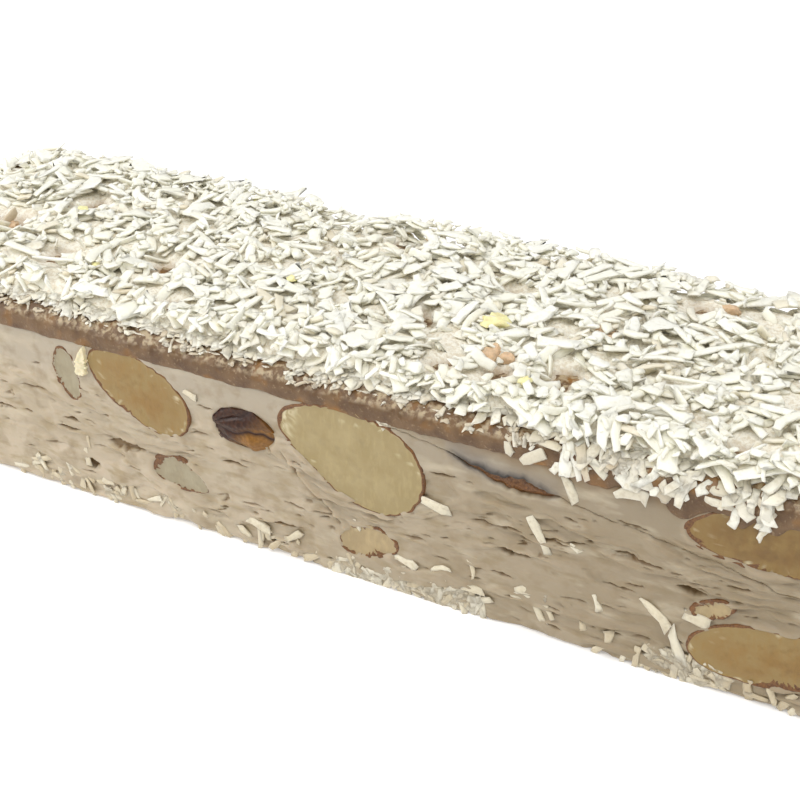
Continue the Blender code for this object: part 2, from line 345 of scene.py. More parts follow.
# Random small tears: how many, how high they lie, length (logarithm's mean and spread), height
# and depth. Those over LONG_TEAR gape half as much again.
SEEDED_TEARS = {"front": 75, "back": 80, "left": 22, "right": 22}
TEAR_UP = (1.6, 19)
TEAR_LENGTH = (0.45, 0.5)
TEAR_HEIGHT = (0.16, 0.34)
TEAR_DEPTH = (0.25, 0.6)
LONG_TEAR = 3

# The torn face's relief, broad to fine: depth, grain and the noise's seed.
Grain = namedtuple("Grain", "depth size seed")
SWELLS = Grain(0.22, (16, 16, 9), 1)
LEDGES = Grain(0.42, (6, 6, 1.9), 2)
RAGGED = Grain(0.24, (3.2, 3.2, 1.3), 4)
CRUMB = Grain(0.10, (1.3, 1.3, 0.7), 6)
LAYER_BEND = 0.35  # how far a slice bends the layers, as a share of half its size
BEND_REACH = 2.6
SMEARED_CRUMB = 0.03  # depth of the finest grain where the knife smeared it
PORES = 0.4  # depth of torn pores
LIP_RISE, LIP_CLEFT = 0.42, 0.45  # the torn lip and the cleft beside it
SLIT_DEPTH = 1.0
SLIT_NARROW, SLIT_WIDE = 0.28, 1.0  # half its width at its left and right ends
# How far the painted grey shade round the crack reaches above and below it.
CRACK_SHADE_ABOVE, CRACK_SHADE_BELOW = 3.2, 0.9
POCKET_DEPTH = 1.6  # how far the nougat sinks behind a slice
RIM_SWELL = 0.10  # nougat pushed up round a slice


class Tear(namedtuple("Tear", "along up length height depth tilt seed")):
    """A lens-shaped hole that the knife pulled open, with a wavering line."""

    def hollow(self, along, up):
        """How deep it is at each place, as a share of its depth."""
        turn = math.radians(self.tilt)
        x, z = along - self.along, up - self.up
        s = x * math.cos(turn) + z * math.sin(turn)
        t = z * math.cos(turn) - x * math.sin(turn)
        wavering = 0.22 * flat_noise(s, 0.0, 1.3, self.seed)
        t = t + wavering + 0.08 * flat_noise(s, 6.0, 0.5, self.seed)
        share = np.clip(1 - (2 * s / self.length) ** 2, 0, 1)
        half = 0.5 * self.height * share * (1 + 0.8 * flat_noise(s, 3.0, 0.6, self.seed))
        return ramp(half - np.abs(t), -0.09, 0.13) * ramp(share, 0, 0.25)


def clear_of_cuts(face, along, up, room):
    """Whether a place on a face is further than room from every slice in it."""
    place = np.array(along), np.array(up)
    return all(cut.distance(*place) > room for cut in cuts_in(face))


def seeded_tears():
    """Each face's tears: the front's own, then many small ones at random places."""
    random = np.random.default_rng(23)
    tears = {name: [] for name in FACES}
    for row in FRONT_TEARS:
        tears["front"].append(Tear(*row, random.uniform(-5, 5), len(tears["front"])))
    for name, count in SEEDED_TEARS.items():
        face = FACES[name]
        while count:
            along = random.uniform(-1, 1) * (face.half_span - 3)
            up = random.uniform(*TEAR_UP)
            length = random.lognormal(*TEAR_LENGTH)
            if not clear_of_cuts(face, along, up, 0.4 + length / 3):
                continue
            height = random.uniform(*TEAR_HEIGHT) * (1 + 0.5 * (length > LONG_TEAR))
            depth = random.uniform(*TEAR_DEPTH)
            tilt = random.uniform(-7, 7)
            tears[name].append(Tear(along, up, length, height, depth, tilt, count))
            count -= 1
    return tears


TEARS = seeded_tears()


def squeezed(cuts, along, up):
    """Height within the nougat's layers, which bend round the nuts."""
    level = np.array(up, float)
    for cut in cuts:
        away = np.maximum(cut.distance(along, up), 0)
        half = LAYER_BEND * (cut.span / 2)
        level -= half * bell(away, BEND_REACH) * np.tanh((up - cut.middle[1]) / 1.6)
    return level


def lip_line(along, up):
    """Distance below and left of the torn lip beside the big almond, and how near its ends."""
    starts, ends = np.array(TORN_LIP).T
    line = np.interp(up, ends[::-1], starts[::-1])
    line = line + 0.35 * flat_noise(up, 1.0, 0.9, 5)
    inside = ramp(up, ends[-1] - 0.5, ends[-1] + 1) * (1 - ramp(up, ends[0] - 1, ends[0] + 0.5))
    return line - along, inside


def side_relief(face, along, up):
    """How far the nougat's face stands out at each place, and how hollow it is there, which sets
    the painted shade in its tears, pores and clefts.
    """
    cuts = cuts_in(face)
    here = on_face(face, along, up, 0.0).reshape(-1, 3)
    shape = np.shape(along)

    def grain(points, size, seed):
        return noise(points, size, seed).reshape(shape)

    band = nougat_top_on(face, along) - SMOOTH_BAND
    rough = 1 - ramp(up, band - 2, band + 1)
    rough *= 0.35 + 0.65 * ramp(grain(here, (11, 11, 6), 3), -0.5, 0.2)
    layered = here.copy()
    layered[:, 2] = squeezed(cuts, along, up).ravel() + 1.1 * noise(here, (13, 13, 7), 9)
    relief = SWELLS.depth * grain(here, *SWELLS[1:])
    relief += LEDGES.depth * rough * (ramp(grain(layered, *LEDGES[1:]), -0.18, 0.10) - 0.5)
    relief += RAGGED.depth * rough * grain(layered, *RAGGED[1:])
    relief += (SMEARED_CRUMB + CRUMB.depth * rough) * grain(layered, *CRUMB[1:])
    patch = ramp(grain(here, (9, 9, 5), 17), -0.1, 0.4) * rough
    pores = grain(layered, (2.2, 2.2, 0.55), 18) + 0.35 * grain(here, 0.6, 19)
    torn = patch * ramp(pores, 0.42, 0.66)
    relief -= PORES * torn
    # hollow is painted shade: tears, pores, the cleft by the lip and the crack are coloured darker
    # by it.
    hollow = 0.8 * torn
    for tear in TEARS[face.name]:
        near = np.abs(along - tear.along) < tear.length / 2 + 0.5
        near &= np.abs(up - tear.up) < tear.height + 1
        if near.any():
            share = tear.hollow(along[near], up[near])
            relief[near] -= tear.depth * share
            hollow[near] = np.maximum(hollow[near], share * min(1, tear.depth / 0.5))
    if face.name == "front":
        beyond, inside = lip_line(along, up)
        edge = bell(beyond - 0.16, 0.2)
        raised = bell(beyond + 0.5, 0.45)
        relief += inside * (LIP_RISE * raised - LIP_CLEFT * edge)
        hollow = np.maximum(hollow, 0.9 * inside * edge)
    for cut in cuts:
        away = cut.distance(along, up)
        if cut.node == SLIT:
            share, _, _ = slit_opening(cut, along, up)
            relief -= SLIT_DEPTH * share
            hollow = np.maximum(hollow, share)
            continue
        rim = bell(away - 0.1, 0.5)
        relief += (RIM_SWELL + 0.16 * grain(here, 1.3, 8)) * rim
        relief = np.where(away < 0, relief * (1 - ramp(-away, 0.1, 0.5)), relief)
        relief -= POCKET_DEPTH * ramp(-away, 0.42, 0.8)
    return relief, hollow


def nougat_top_on(face, along):
    """Height of the nougat's top at places along a cut face."""
    if face.right[0]:
        return nougat_top(face.right[0] * along)
    return nougat_top(np.full(np.shape(along), face.out[0] * face.distance))


def slit_opening(cut, along, up):
    """The crack over the buried nut: a crooked line, wider towards its right end.

    Gives how open it is, the painted grey shade round it and the painted shadow along its torn
    upper edge."""
    x, z = along - cut.middle[0], up - cut.middle[1]
    s = x * cut.heading[0] + z * cut.heading[1]
    t = z * cut.heading[0] - x * cut.heading[1]
    share = np.clip(1 - (s / (0.49 * cut.span)) ** 2, 0, 1)
    t = t + 0.35 + 0.28 * flat_noise(s, 0.0, 1.7, 14) - 0.9 * (1 - share)
    half = share * (SLIT_NARROW + (SLIT_WIDE - SLIT_NARROW) * ramp(s, -2, 2.5))
    half = half * (1 + 0.45 * flat_noise(s, 5.0, 0.8, 11))
    opening = ramp(half - np.abs(t), -0.10, 0.12)
    # Painted grey shade round the crack.
    bruise = ramp(t, CRACK_SHADE_ABOVE, 0.4) * ramp(t, -CRACK_SHADE_BELOW, 0.1) * np.sqrt(share)
    burst = 0.5 + 0.5 * flat_noise(s, t, (0.9, 0.4), 15)
    # Painted shadow along the crack's torn upper edge, in patches.
    edge = bell(t - half - 0.1, 0.55)
    return opening, bruise, edge * np.sqrt(share) * ramp(burst, 0.0, 0.4)


def wall_columns():
    """Along and face for each upright line of points round the bar, with its corner turn."""
    columns = []
    for name in ("front", "right", "back", "left"):
        face = FACES[name]
        step = FRONT_STEP if name == "front" else FAR_STEP
        reach = face.half_span - CORNER
        for along in np.linspace(-reach, reach, int(2 * reach / step)):
            columns.append((face, along, 0.0))
        for turn in np.linspace(0, 90, 6)[1:-1]:
            columns.append((face, reach, turn))
    return columns


def make_nougat(material):
    """The nougat's walls as one fine net round the bar, closed below and above, then thinned."""
    columns = wall_columns()
    rows = int((NOUGAT[:, 2].max() + 0.3) / UP_STEP)
    share = np.linspace(0, 1, rows)
    points = np.empty((rows, len(columns), 3))
    for face in FACES.values():
        chosen = [i for i, column in enumerate(columns) if column[0] is face]
        along = np.array([columns[i][1] for i in chosen])
        turn = np.radians([columns[i][2] for i in chosen])
        up = np.outer(share, nougat_top_on(face, along) + WALL_OVERLAP)
        spread = np.broadcast_to(along, up.shape)
        relief, _ = side_relief(face, spread, up)
        fade = ramp(face.half_span - np.abs(along), CORNER * 0.6, CORNER * 2.4)
        fade = CORNER_RELIEF + (1 - CORNER_RELIEF) * fade
        relief = relief * np.where(turn > 0, CORNER_RELIEF, fade)
        lift = np.clip(BASE_EDGE - up, 0, BASE_EDGE)
        under = BASE_EDGE - np.sqrt(BASE_EDGE**2 - lift**2)
        ragged = flat_noise(spread, 0.0, 2.2, 21) + 0.6 * flat_noise(spread, 9.0, 0.8, 22)
        under = under * (1 + 0.45 * ragged)
        inward = CORNER * (1 - np.cos(turn))
        past = CORNER * np.sin(turn) + (relief - under) * np.sin(turn)
        out = relief - under - inward
        out = np.where(turn > 0, -inward + (relief - under) * np.cos(turn), out)
        points[:, chosen] = on_face(face, spread + past, up, out)
    underside = rings_inside(points[0], np.linspace(0.08, 1, 12))
    dents = flat_noise(underside[:, :, 0], underside[:, :, 1], 3.0, 29)
    underside[:, :, 2] += 0.12 + 0.12 * dents
    top = rings_inside(points[-1], (0.3, 0.6, 1.0))
    points = np.concatenate([underside[::-1], points, top])
    points[:, :, 2] = np.maximum(points[:, :, 2], 0)
    faces = grid_faces(len(points), len(columns), wraps=True)
    points = points.reshape(-1, 3)
    piece = make_piece("nougat_body", points, faces, material, "nougat", sharp=70)
    weld(piece)
    thin = piece.modifiers.new("thin", "DECIMATE")
    thin.ratio = NOUGAT_TRIANGLES / (2 * len(faces))
    apply_modifiers(piece)
    tint_nougat(piece)


def tint_nougat(piece):
    """Per-point numbers for the nougat's colour: painted shade in hollows and round the crack,
    smears, syrup stains, darkening round the slices, and painted shade towards the right end.
    """
    points = points_of(piece.data)
    labels = ("hollow", "smear", "bruise", "nut", "torn_edge", "syrup")
    shades = {label: np.zeros(len(points)) for label in labels}
    for face in FACES.values():
        along, up, out = to_face(face, points)
        here = (out > -SIDE_DEPTH) & (np.abs(along) < face.half_span)
        a, u = along[here], up[here]
        _, holes = side_relief(face, a, u)
        shades["hollow"][here] = np.maximum(shades["hollow"][here], holes)
        top = nougat_top_on(face, a)
        shades["smear"][here] = ramp(u, top - SMOOTH_BAND - 1.5, top - SMOOTH_BAND + 1.5)
        if face is FACES["front"]:
            place = a / HALF_LENGTH
            runs = 1.6 + 2.0 * ramp(place, 0.35, 0.7) + 1.5 * flat_noise(a, u, 2.5, 28)
            shades["syrup"][here] = ramp(top - u, runs, 0.2) * ramp(place, 0.1, 0.4)
        for cut in cuts_in(face):
            if cut.node == SLIT:
                # Painted shade round the crack, and painted shadow along its upper edge.
                _, bruise, dark = slit_opening(cut, a, u)
                shades["bruise"][here] = bruise
                shades["torn_edge"][here] = dark
                continue
            # The nougat is coloured darker round each slice.
            stain = bell(cut.distance(a, u), NUT_DARK_REACH)
            shades["nut"][here] = np.maximum(shades["nut"][here], stain)
    # Painted shade: the nougat is coloured darker towards the right end.
    towards_right = points[:, 0] + 8 * noise(points, 15, 27)
    shades["oily"] = ramp(towards_right, -0.45 * HALF_LENGTH, 0.75 * HALF_LENGTH)
    add_shades(piece.data, shades)


# ---------------------------------------------------------------------------------------------
# Cut nuts

# A slice's flesh, how far it stands proud, the depth of its ribs, its skin's width, a wider strip
# of skin at an angle in degrees, and how far the middle swells.
Nut = namedtuple("Nut", "flesh proud scallop skin strip_turn strip_width dome")
PLAIN_NUT = Nut("golden", 0.10, 0.10, 0.20, 215, 0.5, 0.0)
NUTS = {
    "almond_front_sliver": Nut("grey", 0.10, 0.05, 0.36, 250, 1.0, -0.1),
    "almond_front_golden": Nut("golden", 0.10, 0.20, 0.13, 205, 0.4, 0.1),
    "almond_front_low_left": Nut("grey", 0.12, 0.08, 0.48, 175, 1.1, -0.1),
    "almond_front_whole": Nut("pale", 0.16, 0.22, 0.14, 170, 0.3, 0.1),
    "almond_front_low_middle": Nut("tan", 0.14, 0.10, 0.62, 320, 0.5, -0.25),
    "almond_front_right_top": Nut("amber", 0.06, 0.10, 0.16, 215, 1.1, 0.1),
    "almond_front_ring": Nut("tan", 0.08, 0.05, 0.50, 180, 0.3, -0.1),
    "almond_front_right_low": Nut("golden", 0.10, 0.10, 0.14, 285, 1.0, 0.1),
    "almond_front_left_low": Nut("pale", 0.10, 0.14, 0.20, 200, 0.4, 0.1),
    "almond_front_left_top": Nut("tan", 0.04, 0.06, 0.22, 90, 0.5, -0.1),
}
FLESHES = ("golden", "pale", "amber", "tan")

# Rows of a slice from the foot of its rim inwards: distance in from the outline, height out.
RIM_ROWS = (
    (-0.34, -1.1), (-0.30, -0.5), (-0.24, -0.1), (-0.14, 0.02), (0.0, 0.07), (0.13, 0.06),
    (0.26, 0.02), (0.40, 0.0), (0.58, 0.0), (0.80, 0.0), (1.1, 0.0),
)
RIM_STEP = {"front": 0.26, "back": 0.45, "left": 0.45, "right": 0.45}
INNER_STEP = {"front": 0.6, "back": 1.0, "left": 1.0, "right": 1.0}
RIM_FOOT = -1.2  # how deep a slice's rim is anchored
SLIT_NUT_DEPTH = 0.42
CHIP_FOOT, CHIP_RISE = 0.7, 1.25


def slice_shape(cut, seed, nut):
    """Points of a cut nut: its rim, then rings in to the middle. Also how much of each is skin."""
    around = int(max(48, math.pi * 0.8 * cut.span / RIM_STEP[cut.face.name]))
    turn = np.linspace(-math.pi, math.pi, around, endpoint=False)
    circle = 2.2 * np.stack([np.cos(turn), np.sin(turn), np.full(around, seed * 3.1)], axis=1)
    radius = cut.radius(turn)
    arc = turn * cut.span / 2
    ribs = np.abs(np.sin(arc * 1.15 + 1.5 * noise(circle, 0.8, seed)))
    lively = ramp(noise(circle, 1.4, seed + 3), -0.2, 0.4)
    radius = radius - nut.scallop * (1 - ribs) * lively * 1.6 + 0.12 * noise(circle, 0.7, seed + 5)
    radius = radius + 0.09 * noise(circle, 0.22, seed + 6)
    strip = np.cos(turn - math.radians(nut.strip_turn))
    width = nut.skin * (0.45 + 1.1 * noise(circle, 0.4, seed + 7))
    strip = nut.strip_width * ramp(strip, 0.62, 0.97)
    width = width + strip * (0.6 + 0.8 * noise(circle, 0.3, seed + 8))
    rows, heights, skins = [], [], []
    for inset, height in RIM_ROWS:
        rows.append(np.minimum(inset, 0.92 * radius))
        heights.append(np.full(around, height))
        skins.append(1 - ramp(inset, width - 0.05, width + 0.07))
    rings = int(max(3, (cut.span / 2 - RIM_ROWS[-1][0]) / INNER_STEP[cut.face.name]))
    start = rows[-1]
    for ring in range(1, rings):
        rows.append(start + (radius - start) * ring / rings)
        heights.append(np.zeros(around))
        skins.append(1 - ramp(rows[-1], width - 0.05, width + 0.09))
    inset = np.array(rows)
    reach = radius - inset
    along = cut.middle[0] + reach * np.cos(turn)
    up = cut.middle[1] + reach * np.sin(turn)
    skin = np.array(skins)
    depth = np.array(heights) * (1 + 0.5 * noise(circle, 0.5, seed + 9))
    return along, up, depth, skin, reach / radius


def patch_piece(cut, ending, along, up, out, material, sharp, shades):
    """A piece that fills a slice's outline, from rings of points that run from rim to middle.

    A shade is its values on the rings, and its value at the middle."""
    rows, columns = along.shape
    faces = grid_faces(rows, columns, wraps=True)
    last, centre = (rows - 1) * columns, rows * columns
    faces += [[last + step, last + (step + 1) % columns, centre] for step in range(columns)]
    faces.append(list(range(columns))[::-1])
    shades = {label: np.append(np.broadcast_to(values, along.shape).ravel(), at_middle)
              for label, (values, at_middle) in shades.items()}
    along = np.append(along.ravel(), cut.middle[0])
    up = np.append(up.ravel(), cut.middle[1])
    out = np.append(out.ravel(), out[-1].mean())
    points = on_face(cut.face, along, up, out)
    return make_piece(cut.node + ending, points, faces, material, cut.node, sharp, shades)


def outline_rings(cut, around, shares, reach, *wobbles):
    """Rings inside a slice's outline: their shares of it, and x and z from its middle.

    Each wobble of the outline is an amount, a grain and a seed of noise round a circle."""
    turn = np.linspace(-math.pi, math.pi, around, endpoint=False)
    circle = np.stack([np.cos(turn), np.sin(turn), np.zeros(around)], axis=1)
    for amount, grain, seed in wobbles:
        reach = reach + amount * noise(circle, grain, seed)
    share = np.linspace(*shares)[:, None]
    reach = share * cut.radius(turn) * reach
    return share, reach * np.cos(turn), reach * np.sin(turn)


def make_nut(node, seed, materials):
    """An almond that the knife cut through: pale flesh inside a thin, ribbed, brown skin."""
    cut = CUTS[node]
    plain = PLAIN_NUT._replace(flesh=FLESHES[seed % 4], strip_turn=(seed * 77) % 360)
    nut = NUTS.get(node, plain)
    along, up, depth, skin, share = slice_shape(cut, seed, nut)
    spots = np.stack([along.ravel(), up.ravel(), np.full(along.size, 9.0 * seed)], axis=1)

    def grain(size, seed):
        return noise(spots, size, seed).reshape(along.shape)

    inside = 1 - skin
    swell = nut.dome * (1 - share**2)
    uneven = 0.07 * grain(2.4, 31) + 0.03 * grain(0.8, 32)
    chipped = 0.6 * ramp(grain(0.8, 33), 0.45, 0.8) * ramp(share, 0.6, 0.9)
    if nut.flesh == "pale":
        x, z = along - cut.middle[0], up - cut.middle[1]
        tip = ramp(-(x * cut.heading[0] + z * cut.heading[1]) / cut.span, 0.30, 0.43)
        fibres = ramp(flat_noise(along, up, (0.22, 0.9), 34), -0.2, 0.4)
        chipped = np.maximum(chipped, 0.8 * tip * fibres)
    out = nut.proud + depth + inside * (swell + uneven - 0.12 * chipped)
    out = np.where(depth < -0.3, RIM_FOOT, out)
    shades = {"skin": (skin, 0), "core": (1 - share, 1), "chipped": (chipped * inside, 0)}
    patch_piece(cut, "_cut", along, up, out, materials[nut.flesh], 60, shades)


def make_slit(material):
    """The buried nut's wrinkled skin, which shows only through the crack above it."""
    cut = CUTS[SLIT]
    share, x, z = outline_rings(cut, 120, (1, 0.04, 12), 0.98)
    along, up = cut.middle[0] + x, cut.middle[1] + z
    wrinkle = 0.16 * flat_noise(along, up, (1.8, 0.35), 41) + 0.06 * flat_noise(along, up, 0.3, 42)
    out = -SLIT_NUT_DEPTH + wrinkle - 0.5 * share**4
    shades = {"skin": (1, 1), "core": (0, 0), "chipped": (0, 0)}
    patch_piece(cut, "_skin", along, up, out, material, 60, shades)


def make_chip(material):
    """A broken corner of almond that sticks out of the nougat beside the sliver."""
    cut = CUTS[CHIP]
    share, x, z = outline_rings(cut, 64, (1.05, 0.05, 12), 1.1, (0.5, 0.4, 51), (0.2, 0.15, 54))
    along, up = cut.middle[0] + x, cut.middle[1] + z
    top = 0.5 * np.sqrt(np.clip(1 - share**3, 0, 1))
    out = -CHIP_FOOT + CHIP_RISE * ramp(share, 1.05, 0.85) + 0.45 * top
    out = out + 0.3 * flat_noise(along, up, 0.8, 52) + 0.12 * flat_noise(along, up, 0.35, 53)
    shades = {"skin": (0, 0), "core": (0, 0), "chipped": (1, 1)}
    patch_piece(cut, "_bit", along, up, out, material, 40, shades)


# The raisin, from its outline's middle: the point where its folds gather, and its clear drop.
RAISIN_GATHER = (-4.6, 0.0)
RAISIN_DROP = (1.2, -1.6)
RAISIN_FOOT = -1.1
FOLD_HEIGHT, DROP_HEIGHT, BELLY_HEIGHT = 0.42, 0.4, 0.3


def make_raisin(material):
    """A sticky raisin: folds that gather at its left end, and a clear drop at its lower right."""
    cut = CUTS[RAISIN]
    share, x, z = outline_rings(cut, 180, (1.06, 0.02, 34), 1, (0.07, 0.35, 61))
    gather = np.hypot(x - RAISIN_GATHER[0], (z - RAISIN_GATHER[1]) * 1.5)
    angle = np.arctan2(z + 0.4, x + 5.4)
    folds = np.abs(np.sin(7.5 * angle + 0.9 * flat_noise(x, z, 2.2, 62))) ** 0.7
    upper = ramp(z - 0.12 * x, -0.3, 0.8)
    out = 0.10 + FOLD_HEIGHT * folds * ramp(gather, 0, 1.5) * (0.35 + 0.65 * upper)
    drop = np.exp(-(((x - RAISIN_DROP[0]) / 1.0) ** 2 + ((z - RAISIN_DROP[1]) / 1.15) ** 2))
    belly = np.exp(-(((x + 0.6) / 2.3) ** 2 + ((z + 0.7) / 1.5) ** 2))
    out = out + DROP_HEIGHT * drop + BELLY_HEIGHT * belly
    out = out - 0.35 * ramp(share, 0.55, 0.95) * (1 - upper) + 0.05 * flat_noise(x, z, 0.5, 63)
    out = np.where(share > 0.985, RAISIN_FOOT, out)
    amber = np.clip(ramp(x - 0.8 * z, -1.8, 2.6) * (1 - 0.55 * upper) + 0.5 * drop, 0, 1)
    along, up = cut.middle[0] + x, cut.middle[1] + z
    # The creases between the folds get painted shade.
    shades = {"amber": (amber, 0.5), "fold": (1 - folds, 0)}
    patch_piece(cut, "_fruit", along, up, out, material, 70, shades)


# ---------------------------------------------------------------------------------------------
# Caramel

# The layer's section from its hidden foot, up its side, over its edge and in over the top:
# distance out of the cut face, and height above the nougat's top.
CARAMEL_SECTION = (
    (-0.90, -0.05), (-0.10, 0.00), (0.10, 0.06), (0.20, 0.22), (0.25, 0.45), (0.25, 0.70),
    (0.20, 0.95), (0.05, 1.20), (-0.20, 1.45), (-0.60, 1.68), (-1.10, 1.90), (-1.75, 2.10),
    (-2.50, 2.30), (-3.30, 2.45), (-4.20, 2.55), (-5.50, 2.60),
)
CARAMEL_STEP = 0.3
CARAMEL_RISE = CARAMEL_SECTION[-1][1]
SIDE_FROM = 0.1  # height over the nougat from which the side's lumps start
LEAST_ROOM = 0.6  # the section is never squashed below this share of its height

# How far towards the bar's middle line each further ring of the caramel's top lies.
CARAMEL_RINGS = (0.12, 0.25, 0.4, 0.55, 0.75, 1.0)


def make_caramel(material):
    """A sticky sheet with a soft edge, and a lower line that runs and sags a little."""
    columns = []
    for face in FACES.values():
        reach = face.half_span - CORNER
        for along in np.linspace(-reach, reach, int(2 * reach / CARAMEL_STEP)):
            columns.append((face, along, 0.0))
        for turn in np.linspace(0, math.pi / 2, 6)[1:-1]:
            columns.append((face, reach, turn))
    rows = len(CARAMEL_SECTION)
    points = np.empty((rows, len(columns), 3))
    for index, (face, along, turn) in enumerate(columns):
        out, rise = np.array(CARAMEL_SECTION).T
        if turn:
            spread = along + np.maximum(CORNER + out, 0.0) * math.sin(turn)
            out = np.where(CORNER + out > 0, (CORNER + out) * math.cos(turn) - CORNER, out)
        else:
            past_end = np.maximum(0, np.abs(along) - face.half_span - out)
            limit = face.half_span + np.minimum(out, 0)
            spread = np.clip(along - np.sign(along) * past_end, -limit, limit)
        base = nougat_top_on(face, along)
        room = max((CARAMEL_TOP - base) / CARAMEL_RISE, LEAST_ROOM)
        up = base + rise * np.where(rise > 0.5, room, 1)
        points[:, index] = on_face(face, spread, up, out)
    foot, top = rings_inside(points[0], (1.0,)), rings_inside(points[-1], CARAMEL_RINGS)
    points = np.concatenate([foot, points, top])
    flat = points.reshape(-1, 3)
    levels = [step[1] for step in CARAMEL_SECTION]
    height = np.repeat([levels[0], *levels, *[levels[-1]] * len(CARAMEL_RINGS)], len(columns))
    crumbly = ramp(height, 0.9, 1.5)
    plan = flat * (1, 1, 0)
    lumps = 0.16 * noise(flat, (2.6, 2.6, 1.3), 71) + (0.07 + 0.18 * crumbly) * noise(flat, 0.8, 72)
    sag = 0.28 * noise(plan, (3.4, 3.4, 1), 73) + 0.12 * noise(plan, 1.0, 74)
    inward = flat[:, :2] / np.array([HALF_LENGTH, HALF_WIDTH])
    side = np.argmax(np.abs(inward), axis=1)
    for axis in (0, 1):
        chosen = (side == axis) & (height > SIDE_FROM)
        flat[chosen, axis] += np.sign(flat[chosen, axis]) * lumps[chosen]
    runny = ramp(flat[:, 0] / HALF_LENGTH, 0.25, 0.6)
    runny = runny * ramp(-flat[:, 1], 0.9 * HALF_WIDTH, HALF_WIDTH)
    dripping = noise(flat * (1, 1, 0), (2.6, 2.6, 1), 75)
    drips = runny * (0.5 + 1.6 * ramp(dripping, -0.3, 0.5))
    flat[:, 2] += np.where(height < 0.5, sag - 0.1 - drips, 0.8 * lumps)
    faces = grid_faces(len(points), len(columns), wraps=True)
    piece = make_piece("caramel_sheet", flat, faces, material, "caramel_layer", 60,
                       {"crumbly": crumbly})
    weld(piece)
    apply_modifiers(piece)


# ---------------------------------------------------------------------------------------------
# Coconut

MAP_STEP = 0.25
MAP_X = np.arange(-HALF_LENGTH - 1.0, HALF_LENGTH + 1.0, MAP_STEP)
MAP_Y = np.arange(-HALF_WIDTH - 1.0, HALF_WIDTH + 1.0, MAP_STEP)
CORE_STEP = 0.75
CORE_BED = CARAMEL_TOP - 1.6
CORE_LEAST = 0.3  # its least height over the bed
CORE_RISE, CORE_SUNK = 1.95, 0.8  # what it rises inwards from its edge, and starts below
CORE_BARE_DIP = 1.6  # how much lower it lies at bare spots
CORE_LEFT_FALL = 1.4  # how much lower it lies at the left end
CORE_INSET = 0.9

# The thin strip by the front edge: its width at the left end, and what it loses by the middle
# and again by the right end.
THIN_STRIP, THIN_STRIP_MIDDLE, THIN_STRIP_RIGHT = 4.8, 1.2, 2.4

# Places where the coconut lies thin and caramel shows: x, y and reach.
BARE_SPOTS = (
    (-15.5, 20.4, 3.4), (-19.5, 19.6, 2.4), (-6.5, 15.7, 2.2), (21.1, -3.6, 1.6),
    (24.9, -10.3, 2.6), (18.1, -11.2, 2.2), (12.3, -10.7, 1.4), (-45.6, -8.7, 3.0),
    (-31.2, -5.6, 2.4), (-58.2, -3.3, 3.4), (-24.0, -14.5, 2.2), (-52.0, 6.0, 2.4),
    (34.0, 14.0, 2.2), (58.0, 3.0, 2.6), (66.0, -12.0, 2.2), (47.0, -15.0, 2.0),
)


def bareness(x, y):
    """1 where the coconut is so thin that caramel shows, falling to 0 away from there."""
    bare = np.zeros(np.broadcast(x, y).shape)
    ragged = 1 + 0.5 * flat_noise(x, y, 1.6, 81)
    for spot_x, spot_y, reach in BARE_SPOTS:
        away = np.hypot(x - spot_x, y - spot_y) / (0.85 * reach)
        bare = np.maximum(bare, np.exp(-((away * ragged) ** 2)))
    patches = ramp(flat_noise(x, y, 4.2, 82), 0.42, 0.72)
    return np.clip(bare + 0.8 * patches, 0, 1)


def edge_distance(x, y):
    """How far inside the nearest side of the bar a place lies."""
    return np.minimum(HALF_WIDTH - np.abs(y), HALF_LENGTH - np.abs(x))


def caramel_surface(x, y):
    """Height of the caramel's top, which rounds down towards the bar's edges."""
    out, rise = np.array(CARAMEL_SECTION[5:]).T
    share = np.interp(edge_distance(x, y), -out, rise) / CARAMEL_RISE
    base = nougat_top(np.broadcast_to(x, share.shape))
    return base + share * (CARAMEL_TOP - base)


def near_front(x, y):
    """How sparse the coconut lies by the front edge, where it thins out over the caramel."""
    place = x / HALF_LENGTH
    reach = THIN_STRIP - THIN_STRIP_MIDDLE * ramp(place, -0.6, 0.0)
    reach = reach - THIN_STRIP_RIGHT * ramp(place, 0.1, 0.6)
    return 1 - ramp(HALF_WIDTH + y + 1.1 * flat_noise(x, y, 3.0, 85), 0.2, reach)


def core_height(x, y):
    """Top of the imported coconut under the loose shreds."""
    lumps = 0.25 * flat_noise(x, y, 6.0, 83) + 0.3 * flat_noise(x, y, 1.5, 84)
    depth = CORE_RISE * ramp(edge_distance(x, y), 0.5, 3.4) - CORE_SUNK
    left_end = CORE_LEFT_FALL * (1 - ramp(x / HALF_LENGTH, -1.02, -0.88))
    thin = np.maximum(bareness(x, y), near_front(x, y))
    height = caramel_surface(x, y) + depth + lumps - left_end - CORE_BARE_DIP * thin
    return np.maximum(height, CORE_BED + CORE_LEAST)


def make_core(material):
    """Packed coconut under the shreds: a lumpy sheet that dips under the caramel at bare spots."""
    x, y = (
        np.linspace(CORE_INSET - half, half - CORE_INSET, int(2 * half / CORE_STEP))
        for half in (HALF_LENGTH, HALF_WIDTH)
    )
    across, deep = np.meshgrid(x, y)
    height = core_height(across, deep)
    top = np.stack([across, deep, height], axis=-1).reshape(-1, 3)
    bed = top * (1, 1, 0) + (0, 0, CORE_BED)
    faces = grid_faces(len(y), len(x))
    count = len(top)
    faces += [[count + corner for corner in reversed(face)] for face in faces]
    index = np.arange(count).reshape(len(y), len(x))
    rim = np.concatenate([index[0], index[1:, -1], index[-1, -2::-1], index[-2:0:-1, 0]])
    for here, there in zip(rim, np.roll(rim, -1)):
        faces.append((here, here + count, there + count, there))
    points = np.vstack([top, bed])
    bare = np.concatenate([bareness(across, deep).ravel()] * 2)
    return make_piece("coconut_core", points, faces, material, shades={"stain": bare}, sharp=80)


def front_reach(x):
    """How far from the middle shreds lie at the front. They draw back towards the left end."""
    place = x / HALF_LENGTH
    return HALF_WIDTH - 2.4 + 1.2 * ramp(place, -0.5, 0.1) + 2.1 * ramp(place, 0.1, 0.55)


